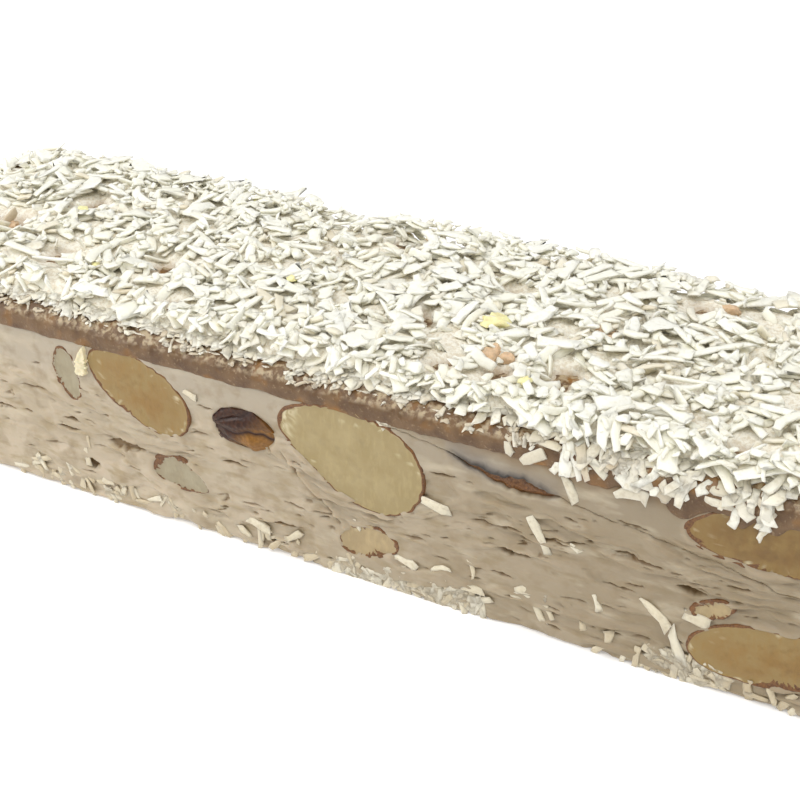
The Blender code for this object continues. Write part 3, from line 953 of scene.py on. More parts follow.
# A kind of loose shred: how many are dropped, their typical size, how much they tilt and roll,
# among how many places each finds the lowest, and how far they keep away from sparse spots.
Kind = namedtuple("Kind", "count length width thick lift roll tries shy")
KINDS = {
    "sunk": Kind(800, 2.6, 1.1, 0.36, 0.15, 0.25, 3, 1.25),
    "first": Kind(1200, 4.2, 1.3, 0.36, 0.1, 0.15, 5, 1.25),
    "under": Kind(1200, 1.6, 0.8, 0.36, 0.15, 0.25, 8, 0.8),
    "second": Kind(1600, 3.8, 1.2, 0.36, 0.15, 0.2, 9, 1.25),
    "flakes": Kind(420, 3.3, 2.3, 0.32, 0.08, 0.12, 9, 1.25),
    "over": Kind(2600, 1.5, 0.85, 0.34, 0.1, 0.25, 12, 0.7),
}
# How much caramel is rubbed into some kinds, from the least to the most. These lie low in the heap,
# so the brown is also painted warm shade in its gaps.
RUBBED_AND_GAP_SHADE = {"sunk": (0.0, 0.4), "under": (0.0, 0.3), "first": (-0.1, 0.15)}
STANDING = Kind(480, 2.9, 1.0, 0.3, lift=None, roll=0.8, tries=None, shy=None)
SHRED_SHARP = 120  # degrees
PROUD_OF_BOX = 0.3  # what the highest shreds may stand above the CAD part
STEEPEST = 0.7  # slope of the steepest shred that rests on others
BACK_REACH = HALF_WIDTH + 0.4
END_REACH = HALF_LENGTH + 0.9
HEAP_TOP = COAT_TOP + 0.2  # nothing lies higher
STANDING_TOP = COAT_TOP - 0.15

# Shapes of the heap's top: its fall at the sides and the left end, what it loses where it is
# sparse, and its dips at x, y, with their depth and reach. The second is a rise.
SIDE_FALL, LEFT_FALL, SPARSE_FALL = 0.2, 2.2, 1.8
HEAP_DIPS = ((42, 20, 1.0, 6, 6), (22, 20, -0.6, 10, 4))

Shreds = namedtuple(
    "Shreds", "place yaw pitch roll lean length width thick bow curve twist slant tone stain"
)


class Heap:
    """The heap's surface as a map of heights, which each shred that lands on it raises."""

    def __init__(self):
        x, y = np.meshgrid(MAP_X, MAP_Y, indexing="ij")
        self.height = np.maximum(caramel_surface(x, y) + 0.05, core_height(x, y))
        self.sparse = np.maximum(bareness(x, y), 0.9 * near_front(x, y))
        fall = SIDE_FALL * (1 - ramp(edge_distance(x, y), -0.5, 2.0))
        fall += LEFT_FALL * (1 - ramp(x / HALF_LENGTH, -1.02, -0.86)) + SPARSE_FALL * self.sparse
        for at_x, at_y, depth, along, across in HEAP_DIPS:
            fall += depth * np.exp(-(((x - at_x) / along) ** 2 + ((y - at_y) / across) ** 2))
        self.ceiling = COAT_TOP - 0.3 + 0.35 * flat_noise(x, y, 6.0, 83) - fall

    @staticmethod
    def index(x, y):
        """Where places lie in the map."""
        i = np.clip(((x - MAP_X[0]) / MAP_STEP + 0.5).astype(int), 0, len(MAP_X) - 1)
        j = np.clip(((y - MAP_Y[0]) / MAP_STEP + 0.5).astype(int), 0, len(MAP_Y) - 1)
        return i, j

    def room(self, x, y):
        """How much coconut still fits at a place, less where it is sparse."""
        i, j = self.index(x, y)
        return self.ceiling[i, j] - self.height[i, j] - 1.5 * self.sparse[i, j]

    def drop(self, x, y, yaw, length, width, thick, lift):
        """Where a shred dropped at a place comes to rest: its height and its pitch."""
        steps = np.linspace(-0.5, 0.5, 2 * max(2, int(length / 0.8)) + 1) * length
        sides = np.array([-0.35, 0.0, 0.35]) * width
        along_x, along_y = math.cos(yaw), math.sin(yaw)
        px = x + steps[:, None] * along_x - sides * along_y
        py = y + steps[:, None] * along_y + sides * along_x
        i, j = self.index(px, py)
        heights = self.height[i, j].max(axis=1)
        middle = len(steps) // 2
        s0, h0 = steps[:middle], heights[:middle]
        s1, h1 = steps[middle + 1:], heights[middle + 1:]
        at_middle = (h0[:, None] * s1 - h1 * s0[:, None]) / (s1 - s0[:, None])
        a, b = np.unravel_index(np.argmax(at_middle), at_middle.shape)
        rest = max(at_middle[a, b], heights[middle])
        slope = (h1[b] - h0[a]) / (s1[b] - s0[a]) + lift
        slope = float(np.clip(slope, -STEEPEST, STEEPEST))
        rest += abs(lift) * length * 0.12
        top = rest + slope * steps + thick
        if top.max() > HEAP_TOP or (top - self.ceiling[i, j].max(axis=1)).max() > 0.5:
            return None
        self.height[i, j] = np.maximum(self.height[i, j], top[:, None])
        return rest + thick / 2, math.atan(slope)


def varied(random, size, spread, least, most):
    """A size near the typical one, within limits given as shares of it."""
    return float(np.clip(random.lognormal(math.log(size), spread), least * size, most * size))


def heap_shreds(heap, random, kind):
    """Drops shreds of one kind on the heap, each where it is lowest of a few places."""
    rows = []
    for _ in range(kind.count):
        x = random.uniform(-HALF_LENGTH - 0.3, HALF_LENGTH + 0.3, kind.tries)
        y = random.uniform(-HALF_WIDTH - 0.3, HALF_WIDTH + 0.3, kind.tries)
        best = int(np.argmax(heap.room(x, y)))
        x, y = float(x[best]), float(y[best])
        if random.random() < kind.shy * heap.sparse[heap.index(np.array(x), np.array(y))]:
            continue
        long = varied(random, kind.length, 0.34, 0.5, 2.0)
        wide = float(kind.width * np.clip(random.lognormal(0, 0.28), 0.6, 1.8))
        deep = float(kind.thick * random.uniform(0.7, 1.4))
        yaw = float(random.uniform(0, math.tau))
        x, y = held_in(random, x, y, yaw, long)
        landed = heap.drop(x, y, yaw, long, wide, deep, float(random.normal(0, kind.lift)))
        if landed is None:
            continue
        z, pitch = landed
        roll = random.normal(0, kind.roll)
        rows.append(heap_row(random, x, y, z - 0.12, yaw, pitch, roll, long, wide, deep))
    return pack_rows(rows)


def standing_shreds(heap, random, kind):
    """Shreds that stand out of the heap at a slant, with their lower ends sunk in it."""
    rows = []
    while len(rows) < kind.count:
        x = float(random.uniform(-HALF_LENGTH + 0.5, HALF_LENGTH - 0.5))
        y = float(random.uniform(-HALF_WIDTH + 0.5, HALF_WIDTH - 0.5))
        long = varied(random, kind.length, 0.25, 0.6, 1.6)
        yaw = float(random.uniform(0, math.tau))
        x, y = held_in(random, x, y, yaw, long)
        here = heap.index(np.array(x), np.array(y))
        foot = float(heap.height[here]) - 0.3
        reach = (STANDING_TOP - foot) / long
        if random.random() < heap.sparse[here] or reach < 0.15:
            continue
        pitch = math.asin(min(0.95, reach * random.uniform(0.6, 1.0)))
        z = foot + 0.5 * long * math.sin(pitch)
        wide = float(kind.width * random.uniform(0.7, 1.4))
        deep = float(kind.thick * random.uniform(0.8, 1.3))
        roll = random.normal(0, kind.roll)
        rows.append(heap_row(random, x, y, z, yaw, pitch, roll, long, wide, deep))
    return pack_rows(rows)


def held_in(random, x, y, yaw, long):
    """The nearest place where a shred keeps within the heap's edges."""
    reach_x = abs(math.cos(yaw)) * long / 2
    reach_y = abs(math.sin(yaw)) * long / 2
    ragged = random.uniform(0, 0.6, 2)
    x = min(max(x, reach_x - END_REACH), END_REACH - reach_x)
    y = min(y, BACK_REACH - reach_y + ragged[0])
    return float(x), float(max(y, reach_y - front_reach(x) - ragged[1]))


def heap_row(random, x, y, z, yaw, pitch, roll, long, wide, deep):
    """One shred of the heap, as a row of Shreds: bent a little, and stained at bare spots."""
    bare = float(bareness(np.array(x), np.array(y)))
    return ((x, y, z), yaw, pitch, roll, 0.0, long, wide, deep,
            random.normal(0, 0.035) * long, random.normal(0, 0.06) * long, random.normal(0, 0.22),
            random.normal(0, 0.35), random.random(),
            float(np.clip(bare * random.uniform(0.0, 1.2) - 0.2, 0, 1)))


def pack_rows(rows):
    """Shreds from their rows."""
    return Shreds(*[np.array(column, float) for column in zip(*rows)])


def joined(*groups):
    """Several groups of shreds as one."""
    return Shreds(*[np.concatenate(parts) for parts in zip(*groups)])


def browned(shreds, least, most):
    """The same shreds with caramel rubbed into them, some more and some less. Low in the heap this
    is also painted warm shade in the gaps.
    """
    return shreds._replace(stain=np.clip(shreds.stain + least + (most - least) * shreds.tone, 0, 1))


def rotation(yaw, pitch, roll):
    """Matrices that turn a shred: along its length, across it and out of its flat side."""
    cy, sy = np.cos(yaw), np.sin(yaw)
    cp, sp = np.cos(pitch), np.sin(pitch)
    cr, sr = np.cos(roll), np.sin(roll)
    length = np.stack([cy * cp, sy * cp, sp], axis=-1)
    flat = np.stack([-sy, cy, 0 * cy], axis=-1)
    out = np.cross(length, flat)
    across = flat * cr[..., None] + out * sr[..., None]
    normal = np.cross(length, across)
    return length, across, normal


def shred_mesh(shreds, random, stations, ragged, curl=0.0):
    """Every shred of one kind as one mesh: soft-edged ribbons with cut ends, bent and twisted."""
    count = len(shreds.yaw)
    s = np.sin(np.linspace(-math.pi / 2, math.pi / 2, stations))
    across = np.array([-1.0, -0.72, 0.72, 1.0, 0.72, -0.72])
    side = np.array([0.0, 1.0, 1.0, 0.0, -1.0, -1.0])
    end = np.abs(s) ** 12
    wide = shreds.width[:, None, None]
    half = (shreds.length / 2)[:, None, None]
    uneven = 1 + ragged * random.uniform(-1, 1, (count, stations, 2))[..., [0, 0, 1, 1, 1, 0]]
    taper = 1 + 0.35 * random.uniform(-1, 1, (count, 1, 1)) * s[:, None]
    width = 0.5 * wide * (1 - 0.12 * end)[:, None] * uneven * taper
    a = width * across + 0.05 * wide * random.normal(size=(count, stations, 6))
    a = a + shreds.curve[:, None, None] * (s**2)[:, None]
    l = half * s[:, None] + shreds.slant[:, None, None] * a * (end * np.sign(s))[:, None]
    l = l + 0.07 * wide * random.normal(size=(count, stations, 6))
    turn = (shreds.twist[:, None] * s)[..., None]
    n = (shreds.thick / 2)[:, None, None] * side * (1 - 0.4 * end)[:, None]
    n = n + curl * width * (across**2 - 0.5)
    spun_a = a * np.cos(turn) - n * np.sin(turn)
    spun_n = a * np.sin(turn) + n * np.cos(turn)
    spun_n = spun_n + shreds.bow[:, None, None] * (0.4 - s**2)[:, None]
    to_length, to_across, to_normal = rotation(shreds.yaw, shreds.pitch, shreds.roll)
    points = shreds.place[:, None, None, :] + (
        l[..., None] * to_length[:, None, None, :]
        + spun_a[..., None] * to_across[:, None, None, :]
        + spun_n[..., None] * to_normal[:, None, None, :]
    )
    one = [face[::-1] for face in grid_faces(stations, 6, wraps=True)]
    one.append([0, 1, 2, 3, 4, 5])
    one.append([6 * (stations - 1) + step for step in (5, 4, 3, 2, 1, 0)])
    faces = []
    for index in range(count):
        first = index * stations * 6
        faces += [[first + corner for corner in face] for face in one]
    return points.reshape(-1, 3), faces


def shred_shades(shreds, per_shred):
    """Each shred's tone and stain, for every point of it."""
    return {
        "tone": np.repeat(shreds.tone, per_shred),
        "stain": np.repeat(shreds.stain, per_shred),
    }


def inside_box(points):
    """Points pressed back into the box that the CAD part fills."""
    low = np.array(cad_box[0]) / MM + (0.05, 0.05, 0.0)
    high = np.array(cad_box[1]) / MM + (-0.05, -0.05, PROUD_OF_BOX)
    return np.clip(points, low, high)


def make_shreds(name, shreds, random, material, stations=7, ragged=0.16, curl=0.0):
    """A group of loose shreds as one piece."""
    points, faces = shred_mesh(shreds, random, stations, ragged, curl)
    shades = shred_shades(shreds, stations * 6)
    make_piece(name, inside_box(points), faces, material, sharp=SHRED_SHARP, shades=shades)


# Shreds and bits stuck flat to the sides: along, up, length, width and angle in degrees.
STRAYS = (
    (14.2, 14.0, 4.4, 1.5, -8), (7.7, 23.5, 2.0, 1.4, -60), (4.3, 8.1, 1.6, 0.7, -50),
    (10.7, 5.0, 3.6, 1.1, -12), (15.2, 5.4, 2.6, 0.9, 20), (19.1, 3.8, 3.2, 1.0, 10),
    (26.5, 6.1, 4.0, 1.2, 6), (26.2, 4.9, 4.2, 1.1, 4), (27.3, 14.1, 5.2, 1.0, -62),
    (30.3, 21.0, 3.4, 1.1, -62), (31.4, 13.7, 1.4, 0.6, -30), (41.0, 8.3, 4.6, 1.4, -34),
    (45.6, 8.9, 3.0, 1.6, -6), (-19.9, 3.0, 3.0, 1.0, -40), (-18.4, 19.9, 2.2, 0.9, -14),
    (34.4, 7.2, 2.2, 0.8, -70), (28.6, 4.4, 3.2, 0.9, -60), (43.6, 4.6, 4.4, 1.3, -70),
    (-43.5, 3.0, 2.6, 0.9, -60), (-38.6, 3.4, 2.0, 0.8, -70), (-25.3, 2.6, 2.4, 0.8, 25),
    (-9.6, 3.6, 3.4, 1.2, -14), (-4.6, 3.4, 3.0, 0.9, 40), (0.6, 5.4, 1.8, 0.8, -20),
)
CROWDED = ((2, 21), (41, 49))  # runs of the lower edge where shreds crowd, along the front
CROWD_PER_MM = 6
LOW_STRAYS = 190  # tries along the lower edge of a long side
HIGH_STRAYS = {"front": 12, "back": 60, "left": 60, "right": 60}  # and higher up
STRAY_TILT, FRINGE_TILT = 0.05, 0.09
STUCK_STATIONS, STUCK_RAGGED = 4, 0.32


def stuck_row(face, random, along, up, out, angle, length, width, stain,
              lean=0.0, tilt=STRAY_TILT):
    """One shred lying on a cut face. It leans back by an angle where the surface rounds over."""
    thick = random.uniform(0.2, 0.34)
    return (on_face(face, along, up, out), angle, random.normal(0, tilt),
            random.normal(0, 0.12), lean, length, width, thick,
            random.normal(0, 0.03) * length, random.normal(0, 0.07) * length,
            random.normal(0, 0.15), random.normal(0, 0.35), random.random(), stain)


def make_stuck(name, rows_by_face, random, material):
    """Shreds on the four sides as one piece. Each lies in its face's own plane."""
    all_points, all_faces, shades = [], [], {"tone": [], "stain": []}
    first = 0
    for face_name, rows in rows_by_face.items():
        face = FACES[face_name]
        shreds = pack_rows(rows)
        local = shreds._replace(place=np.zeros_like(shreds.place))
        points, faces = shred_mesh(local, random, STUCK_STATIONS, STUCK_RAGGED)
        points = points.reshape(len(rows), -1, 3)
        cos, sin = np.cos(shreds.lean)[:, None], np.sin(shreds.lean)[:, None]
        rise = points[..., 1] * cos + points[..., 2] * sin
        forth = points[..., 2] * cos - points[..., 1] * sin
        right = np.array([*face.right, 0.0])
        out = np.array([*face.out, 0.0])
        turned = points[..., :1] * right + rise[..., None] * (0, 0, 1) + forth[..., None] * out
        points = (turned + shreds.place[:, None, :]).reshape(-1, 3)
        all_points.append(points)
        all_faces += [[first + corner for corner in one] for one in faces]
        for label, values in shred_shades(shreds, STUCK_STATIONS * 6).items():
            shades[label].append(values)
        first += len(points)
    shades = {label: np.concatenate(values) for label, values in shades.items()}
    points = inside_box(np.vstack(all_points))
    make_piece(name, points, all_faces, material, sharp=SHRED_SHARP, shades=shades)


def make_strays(material):
    """Coconut that fell on the sides: single shreds, and many small ones along the lower edge."""
    random = np.random.default_rng(57)
    rows = {name: [] for name in FACES}

    def stick(name, *args):
        rows[name].append(stuck_row(FACES[name], random, *args))

    for along, up, length, width, angle in STRAYS:
        stick("front", along, up, 0.05, math.radians(angle), length, width, 0.2)
    for start, end in CROWDED:
        for _ in range(CROWD_PER_MM * (end - start)):
            length = random.uniform(1.2, 3.6)
            stick("front", random.uniform(start, end), random.uniform(0.5, 3.0),
                  random.uniform(-0.2, 0.0), random.uniform(-math.pi, math.pi), length,
                  random.uniform(0.7, 1.4), random.uniform(0.0, 0.8))
    for name, face in FACES.items():
        share = face.half_span / HALF_LENGTH
        for _ in range(int(LOW_STRAYS * share)):
            along = random.uniform(-1, 1) * (face.half_span - 2)
            up = 0.6 + abs(random.normal(0, 1.4))
            length = random.uniform(0.8, 3.4)
            crowd = 0.5 + 0.5 * flat_noise(np.array([along]), np.array([0.0]), 14.0, 95)[0]
            if random.random() > 0.15 + crowd or not clear_of_cuts(face, along, up, 0.3):
                continue
            stick(name, along, max(up, 0.3 + length * 0.3), random.uniform(-0.16, 0.04),
                  random.uniform(-math.pi, math.pi), length, random.uniform(0.5, 1.1),
                  random.uniform(0.3, 1.0))
        for _ in range(int(HIGH_STRAYS[name] * share)):
            along = random.uniform(-1, 1) * (face.half_span - 2)
            up = random.uniform(3, 23)
            length = random.uniform(0.8, 3.8)
            if not clear_of_cuts(face, along, up, 0.8 + length / 3):
                continue
            stick(name, along, up, 0.0, random.uniform(-math.pi, math.pi), length,
                  random.uniform(0.4, 1.1), random.uniform(0.3, 1.0))
    make_stuck("coconut_strays", rows, random, material)


# The caramel's side and rounded edge: share of the way up and over, with out, rise and lean.
EDGE_SHARES = (0, 0.35, 0.6, 0.8, 1.0, 1.4)
EDGE_OUT = (0.30, 0.28, 0.08, -0.55, -1.7, -4.4)
EDGE_RISE = (0.35, 0.8, 1.3, 1.8, 2.25, 2.75)
EDGE_LEAN = (0.0, 0.2, 0.75, 1.1, 1.3, 1.45)


FRINGE, TOP_FRINGE, HANGING = 1500, 420, 620  # tries along a long side

# The fringe's lowest share of the edge, and how much lower it is by the middle and the right end.
FRINGE_LOW, FRINGE_LOW_MIDDLE, FRINGE_LOW_RIGHT = 0.76, 0.12, 0.4
FRINGE_HIGH = 1.4
LONGEST_HANG = 3.4


def fringe_row(face, random, along, share, drop, angle, length, width, stain):
    """A shred on the caramel's edge, at a share of the way up and over, as a row of Shreds."""
    rows = EDGE_OUT, EDGE_RISE, EDGE_LEAN
    out, rise, lean = (float(np.interp(share, EDGE_SHARES, row)) for row in rows)
    base = float(nougat_top_on(face, along))
    up = base + rise * (CARAMEL_TOP - base) / CARAMEL_RISE - drop
    return stuck_row(face, random, along, up, out, angle, length, width, stain, lean, FRINGE_TILT)


def make_fringe(material):
    """Coconut stuck to the caramel's edge. It hangs over the side towards the right end."""
    random = np.random.default_rng(91)
    rows = {name: [] for name in FACES}
    for name, face in FACES.items():
        reach = face.half_span / HALF_LENGTH

        def stick(*args):
            rows[name].append(fringe_row(face, random, *args))

        def clumps(level, size, seed):
            return flat_noise(np.array([along]), np.array([level]), size, seed)[0]

        for _ in range(int(FRINGE * reach)):
            along = random.uniform(-1, 1) * (face.half_span - 0.8)
            right_end = float(on_face(face, along, 0, 0)[0]) / HALF_LENGTH
            low = FRINGE_LOW - FRINGE_LOW_MIDDLE * float(ramp(right_end, -0.5, 0.0))
            low = low - FRINGE_LOW_RIGHT * float(ramp(right_end, 0.15, 0.6))
            share = low + (FRINGE_HIGH - low) * random.random() ** 0.9
            clump = clumps(4.0 * share, 3.2, 98)
            if clump < random.uniform(-0.5, 0.3) or clump < 0.75 - share:
                continue
            small = 0.45 + 0.55 * float(ramp(share, low, low + 0.4))
            stain = 1.3 - share - 0.3 * right_end + random.normal(0, 0.25)
            stain = float(np.clip(stain, 0, 0.8))
            stick(along, share, 0.0, random.uniform(0, math.pi),
                  small * float(np.clip(random.lognormal(0.4, 0.5), 0.7, 3.6)),
                  small * random.uniform(0.5, 1.2), stain)
        for _ in range(int(TOP_FRINGE * reach)):
            along = random.uniform(-1, 1) * (face.half_span - 1.5)
            stick(along, random.uniform(1.0, 1.35), 0.0, random.uniform(0, math.pi),
                  random.uniform(1.8, 4.0), random.uniform(0.8, 1.4), random.uniform(0, 0.3))
        for _ in range(int(HANGING * reach)):
            along = random.uniform(-1, 1) * (face.half_span - 1.5)
            right_end = float(on_face(face, along, 0, 0)[0]) / HALF_LENGTH
            hang = float(ramp(right_end, 0.2, 0.7))
            clump = clumps(2.0, 5.0, 99)
            if random.random() > hang or clump < random.uniform(-0.3, 0.2):
                continue
            drop = random.uniform(-0.5, LONGEST_HANG) * hang * (random.random() < 0.6)
            stick(along, random.uniform(0.15, 0.95), drop, random.normal(math.pi / 2, 0.9),
                  random.uniform(1.4, 4.2), random.uniform(0.7, 1.5),
                  float(np.clip(random.normal(0.15, 0.25), 0, 1)))
    make_stuck("coconut_fringe", rows, random, material)


# Crumbs among the shreds: x, y and size across. Then their height as a share of that.
TOASTED = (
    (7.0, 6.8, 2.6), (8.8, 6.0, 2.2), (25.8, 2.1, 2.8), (26.6, 0.4, 2.0), (16.2, -8.7, 2.6),
    (18.0, -8.9, 2.0), (-26.8, 4.3, 2.2), (-4.0, 17.6, 2.0), (-58.2, -3.3, 2.4), (-44.0, 9.0, 1.8),
    (38.0, 12.0, 2.2), (55.0, -6.0, 2.6), (62.0, 9.0, 2.0), (-67.0, 8.0, 2.2), (34.5, -16.0, 1.8),
)
YELLOWED = (
    (14.0, -3.0, 3.6), (7.0, 1.4, 2.0), (-30.9, 17.7, 2.6), (-13.4, -3.5, 1.8), (22.5, -14.5, 1.6),
    (44.0, 3.0, 2.4), (-50.0, 2.0, 2.0), (60.0, -13.0, 2.0), (-38.0, -11.0, 1.6),
)


TOASTED_HEIGHT, YELLOWED_HEIGHT = 0.6, 0.35
CRUMB_LIFT = 0.3


def make_crumbs(name, places, heap, material, flat):
    """Small lumps with broken faces, half sunk among the shreds."""
    latitude = np.linspace(-math.pi / 2, math.pi / 2, 9)[1:-1]
    turn = np.linspace(0, math.tau, 14, endpoint=False)
    tilt, spin = np.meshgrid(latitude, turn, indexing="ij")
    level = np.cos(tilt)
    ball = np.stack([level * np.cos(spin), level * np.sin(spin), np.sin(tilt)], axis=-1)
    ball = np.vstack([ball.reshape(-1, 3), [(0, 0, -1), (0, 0, 1)]])
    rings, around = tilt.shape
    one = grid_faces(rings, around, wraps=True)
    low, high = rings * around, rings * around + 1
    one += [[(step + 1) % around, step, low] for step in range(around)]
    last = (rings - 1) * around
    one += [[last + step, last + (step + 1) % around, high] for step in range(around)]
    points, faces = [], []
    for seed, (x, y, size) in enumerate(places):
        own = ball + 7.0 * seed
        broken = 1 + 0.5 * noise(own, 0.75, 96) + 0.2 * noise(own, 0.35, 97)
        lump = ball * broken[:, None] * (size / 2) * (1.0, 0.75, flat)
        turned = 1.9 * seed
        across = lump[:, 0] * math.cos(turned) - lump[:, 1] * math.sin(turned)
        deep = lump[:, 0] * math.sin(turned) + lump[:, 1] * math.cos(turned)
        i, j = heap.index(np.array(x), np.array(y))
        rest = min(float(heap.height[i, j]), COAT_TOP - 0.75) + CRUMB_LIFT
        first = len(points) * len(ball)
        points.append(np.stack([x + across, y + deep, rest + lump[:, 2]], axis=-1))
        faces += [[first + corner for corner in face] for face in one]
    make_piece(name, inside_box(np.vstack(points)), faces, material)


# ---------------------------------------------------------------------------------------------
# Materials


class Surface:
    """A food material, built from a few chained nodes.

    Factors run from 0 to 1: sockets, or the names of per-point numbers. Colours are sockets,
    or names in COLOURS."""

    def __init__(self, name, roughness, subsurface=0.0, radius=(1.0, 0.6, 0.4)):
        self.made = bpy.data.materials.new(name)
        self.made.use_nodes = True
        self.nodes = self.made.node_tree.nodes
        self.links = self.made.node_tree.links
        self.shader = self.nodes["Principled BSDF"]
        self.shader.inputs["Roughness"].default_value = roughness
        self.shader.inputs["Subsurface Weight"].default_value = subsurface
        self.shader.inputs["Subsurface Radius"].default_value = radius
        self.shader.inputs["Subsurface Scale"].default_value = MM

    def place(self):
        """Places on the bar, in metres."""
        return self.nodes.new("ShaderNodeTexCoord").outputs["Object"]

    def stretched(self, scale):
        """Places scaled per axis, which makes grain longer where the scale is small."""
        mapping = self.nodes.new("ShaderNodeMapping")
        mapping.inputs["Scale"].default_value = scale
        self.links.new(self.place(), mapping.inputs["Vector"])
        return mapping.outputs["Vector"]

    def noise(self, grain, detail=3.0, vector=None, rough=0.5):
        """A noise texture. grain is its size in mm."""
        made = self.nodes.new("ShaderNodeTexNoise")
        made.inputs["Scale"].default_value = 1 / (grain * MM)
        made.inputs["Detail"].default_value = detail
        made.inputs["Roughness"].default_value = rough
        self.links.new(vector or self.place(), made.inputs["Vector"])
        return made.outputs["Fac"]

    def attribute(self, name):
        """Per-point numbers by name."""
        made = self.nodes.new("ShaderNodeAttribute")
        made.attribute_name = name
        return made.outputs["Fac"]

    def spread(self, factor, low, high):
        """A Map Range node that spreads a factor from low to high."""
        made = self.nodes.new("ShaderNodeMapRange")
        made.inputs["From Min"].default_value = low
        made.inputs["From Max"].default_value = high
        if isinstance(factor, str):
            factor = self.attribute(factor)
        self.links.new(factor, made.inputs["Value"])
        return made

    def blend(self, factor, first, second, low=0.0, high=1.0):
        """Mixes two colours by a factor, spread from low to high."""
        mix = self.nodes.new("ShaderNodeMix")
        mix.data_type = "RGBA"
        self.links.new(self.spread(factor, low, high).outputs["Result"], mix.inputs["Factor"])
        for socket, colour in ((mix.inputs[6], first), (mix.inputs[7], second)):
            if isinstance(colour, str):
                colour = COLOURS[colour]
            if isinstance(colour, tuple):
                socket.default_value = (*colour, 1)
            else:
                self.links.new(colour, socket)
        return mix.outputs[2]

    def colour(self, socket):
        """Sets the surface's colour."""
        self.links.new(socket, self.shader.inputs["Base Color"])

    def bump(self, *layers):
        """Bumps, each a height socket and its depth in mm, one on top of the other."""
        normal = None
        for height, depth in layers:
            made = self.nodes.new("ShaderNodeBump")
            made.inputs["Distance"].default_value = depth * MM
            self.links.new(height, made.inputs["Height"])
            if normal:
                self.links.new(normal, made.inputs["Normal"])
            normal = made.outputs["Normal"]
        self.links.new(normal, self.shader.inputs["Normal"])

    def gloss(self, factor, low, high, start=0.3, end=0.7):
        """Roughness from low to high, as the factor goes from start to end."""
        spread = self.spread(factor, start, end)
        spread.inputs["To Min"].default_value = low
        spread.inputs["To Max"].default_value = high
        self.links.new(spread.outputs["Result"], self.shader.inputs["Roughness"])


COLOURS = {
    "nougat": (0.505, 0.42, 0.305),
    "nougat cloud": (0.42, 0.345, 0.24),
    "nougat layer": (0.375, 0.295, 0.18),
    "smeared": (0.42, 0.36, 0.275),
    # painted shade towards the right end
    "oily": (0.25, 0.19, 0.11),
    "darker": (0.285, 0.215, 0.125),
    "streak": (0.53, 0.455, 0.33),
    "syrup": (0.21, 0.125, 0.05),
    # painted grey shade round the crack
    "bruise": (0.17, 0.15, 0.135),
    "by a nut": (0.44, 0.35, 0.24),
    # painted shade in tears, pores and clefts
    "hollow": (0.20, 0.12, 0.045),
    # painted shadow along the crack's upper edge
    "torn edge": (0.030, 0.024, 0.020),
    "nut fibres": (0.74, 0.66, 0.44),
    "skin": (0.080, 0.028, 0.006),
    "skin light": (0.22, 0.092, 0.022),
    "raisin": (0.024, 0.007, 0.003),
    "raisin light": (0.062, 0.020, 0.006),
    "amber": (0.18, 0.078, 0.012),
    "amber light": (0.29, 0.135, 0.028),
    # painted shade in the raisin's creases
    "raisin fold": (0.03, 0.010, 0.006),
    "caramel": (0.095, 0.046, 0.015),
    "caramel cloud": (0.175, 0.098, 0.040),
    "toffee": (0.25, 0.11, 0.015),
    "caramel grain": (0.33, 0.235, 0.135),
    "caramel crumb": (0.43, 0.335, 0.21),
    "cream": (0.84, 0.78, 0.62),
    # packed coconut under the shreds, darker than them: partly painted shade in the heap's gaps
    "packed": (0.78, 0.70, 0.55),
    "packed light": (0.95, 0.91, 0.79),
    "packed stain": (0.36, 0.23, 0.12),
    "coconut": (0.93, 0.90, 0.745),
    "coconut light": (0.985, 0.97, 0.845),
    "coconut stain": (0.46, 0.34, 0.20),
    "damp": (0.67, 0.59, 0.43),
    "damp light": (0.81, 0.74, 0.57),
    "damp stain": (0.52, 0.42, 0.27),
    "moist": (0.76, 0.71, 0.56),
    "moist light": (0.94, 0.91, 0.77),
    "moist stain": (0.45, 0.345, 0.22),
    "toasted": (0.54, 0.38, 0.235),
    "yellowed": (0.80, 0.70, 0.36),
}

# Nut flesh: at the slice's middle, and towards its skin.
FLESH_COLOURS = {
    "pale": ((0.38, 0.295, 0.14), (0.33, 0.25, 0.11)),
    "golden": ((0.26, 0.145, 0.030), (0.29, 0.195, 0.066)),
    "amber": ((0.185, 0.098, 0.018), (0.25, 0.155, 0.042)),
    "grey": ((0.35, 0.30, 0.195), (0.30, 0.25, 0.155)),
    "tan": ((0.44, 0.33, 0.17), (0.36, 0.27, 0.14)),
}


def tinted(colour, share):
    """A colour made darker or lighter by a share."""
    return tuple(min(1, share * part) for part in colour)


def nougat_material():
    """Layered nougat: clouded and streaked, darker by syrup and round the nuts, with painted shade
    in its hollows, round the crack and towards the right end.
    """
    skin = Surface("nougat", 0.5, subsurface=0.25, radius=(1.6, 1.1, 0.7))
    layers = skin.noise(1.2, 4, skin.stretched((0.3, 0.3, 0.8)))
    fine = skin.noise(0.5, 4)
    streaks = skin.noise(2.2, 4, skin.stretched((0.35, 0.35, 1.1)))
    base = skin.blend(skin.noise(7, 3), "nougat", "nougat cloud", 0.38, 0.62)
    base = skin.blend(layers, "nougat layer", base, 0.34, 0.48)
    for factor, colour, low, high in (
        ("smear", "smeared", 0, 1.3),
        # painted shade towards the right end
        ("oily", "oily", 0, 1.35),
        (skin.noise(2.4, 4), "darker", 0.52, 0.82),
        (streaks, "streak", 0.55, 0.80),
        ("syrup", "syrup", 0, 1.25),
        # painted grey shade round the crack
        ("bruise", "bruise", 0, 1.1),
        ("nut", "by a nut", 0.3, 2.2),
        # painted shade in tears, pores and clefts
        ("hollow", "hollow", 0.2, 1.0),
        # painted shadow along the crack's upper edge
        ("torn_edge", "torn edge", 0.15, 0.8),
    ):
        base = skin.blend(factor, base, colour, low, high)
    skin.colour(base)
    skin.gloss(fine, 0.42, 0.62)
    skin.bump((layers, 0.10), (fine, 0.03), (skin.noise(0.16, 3), 0.012))
    return skin.made


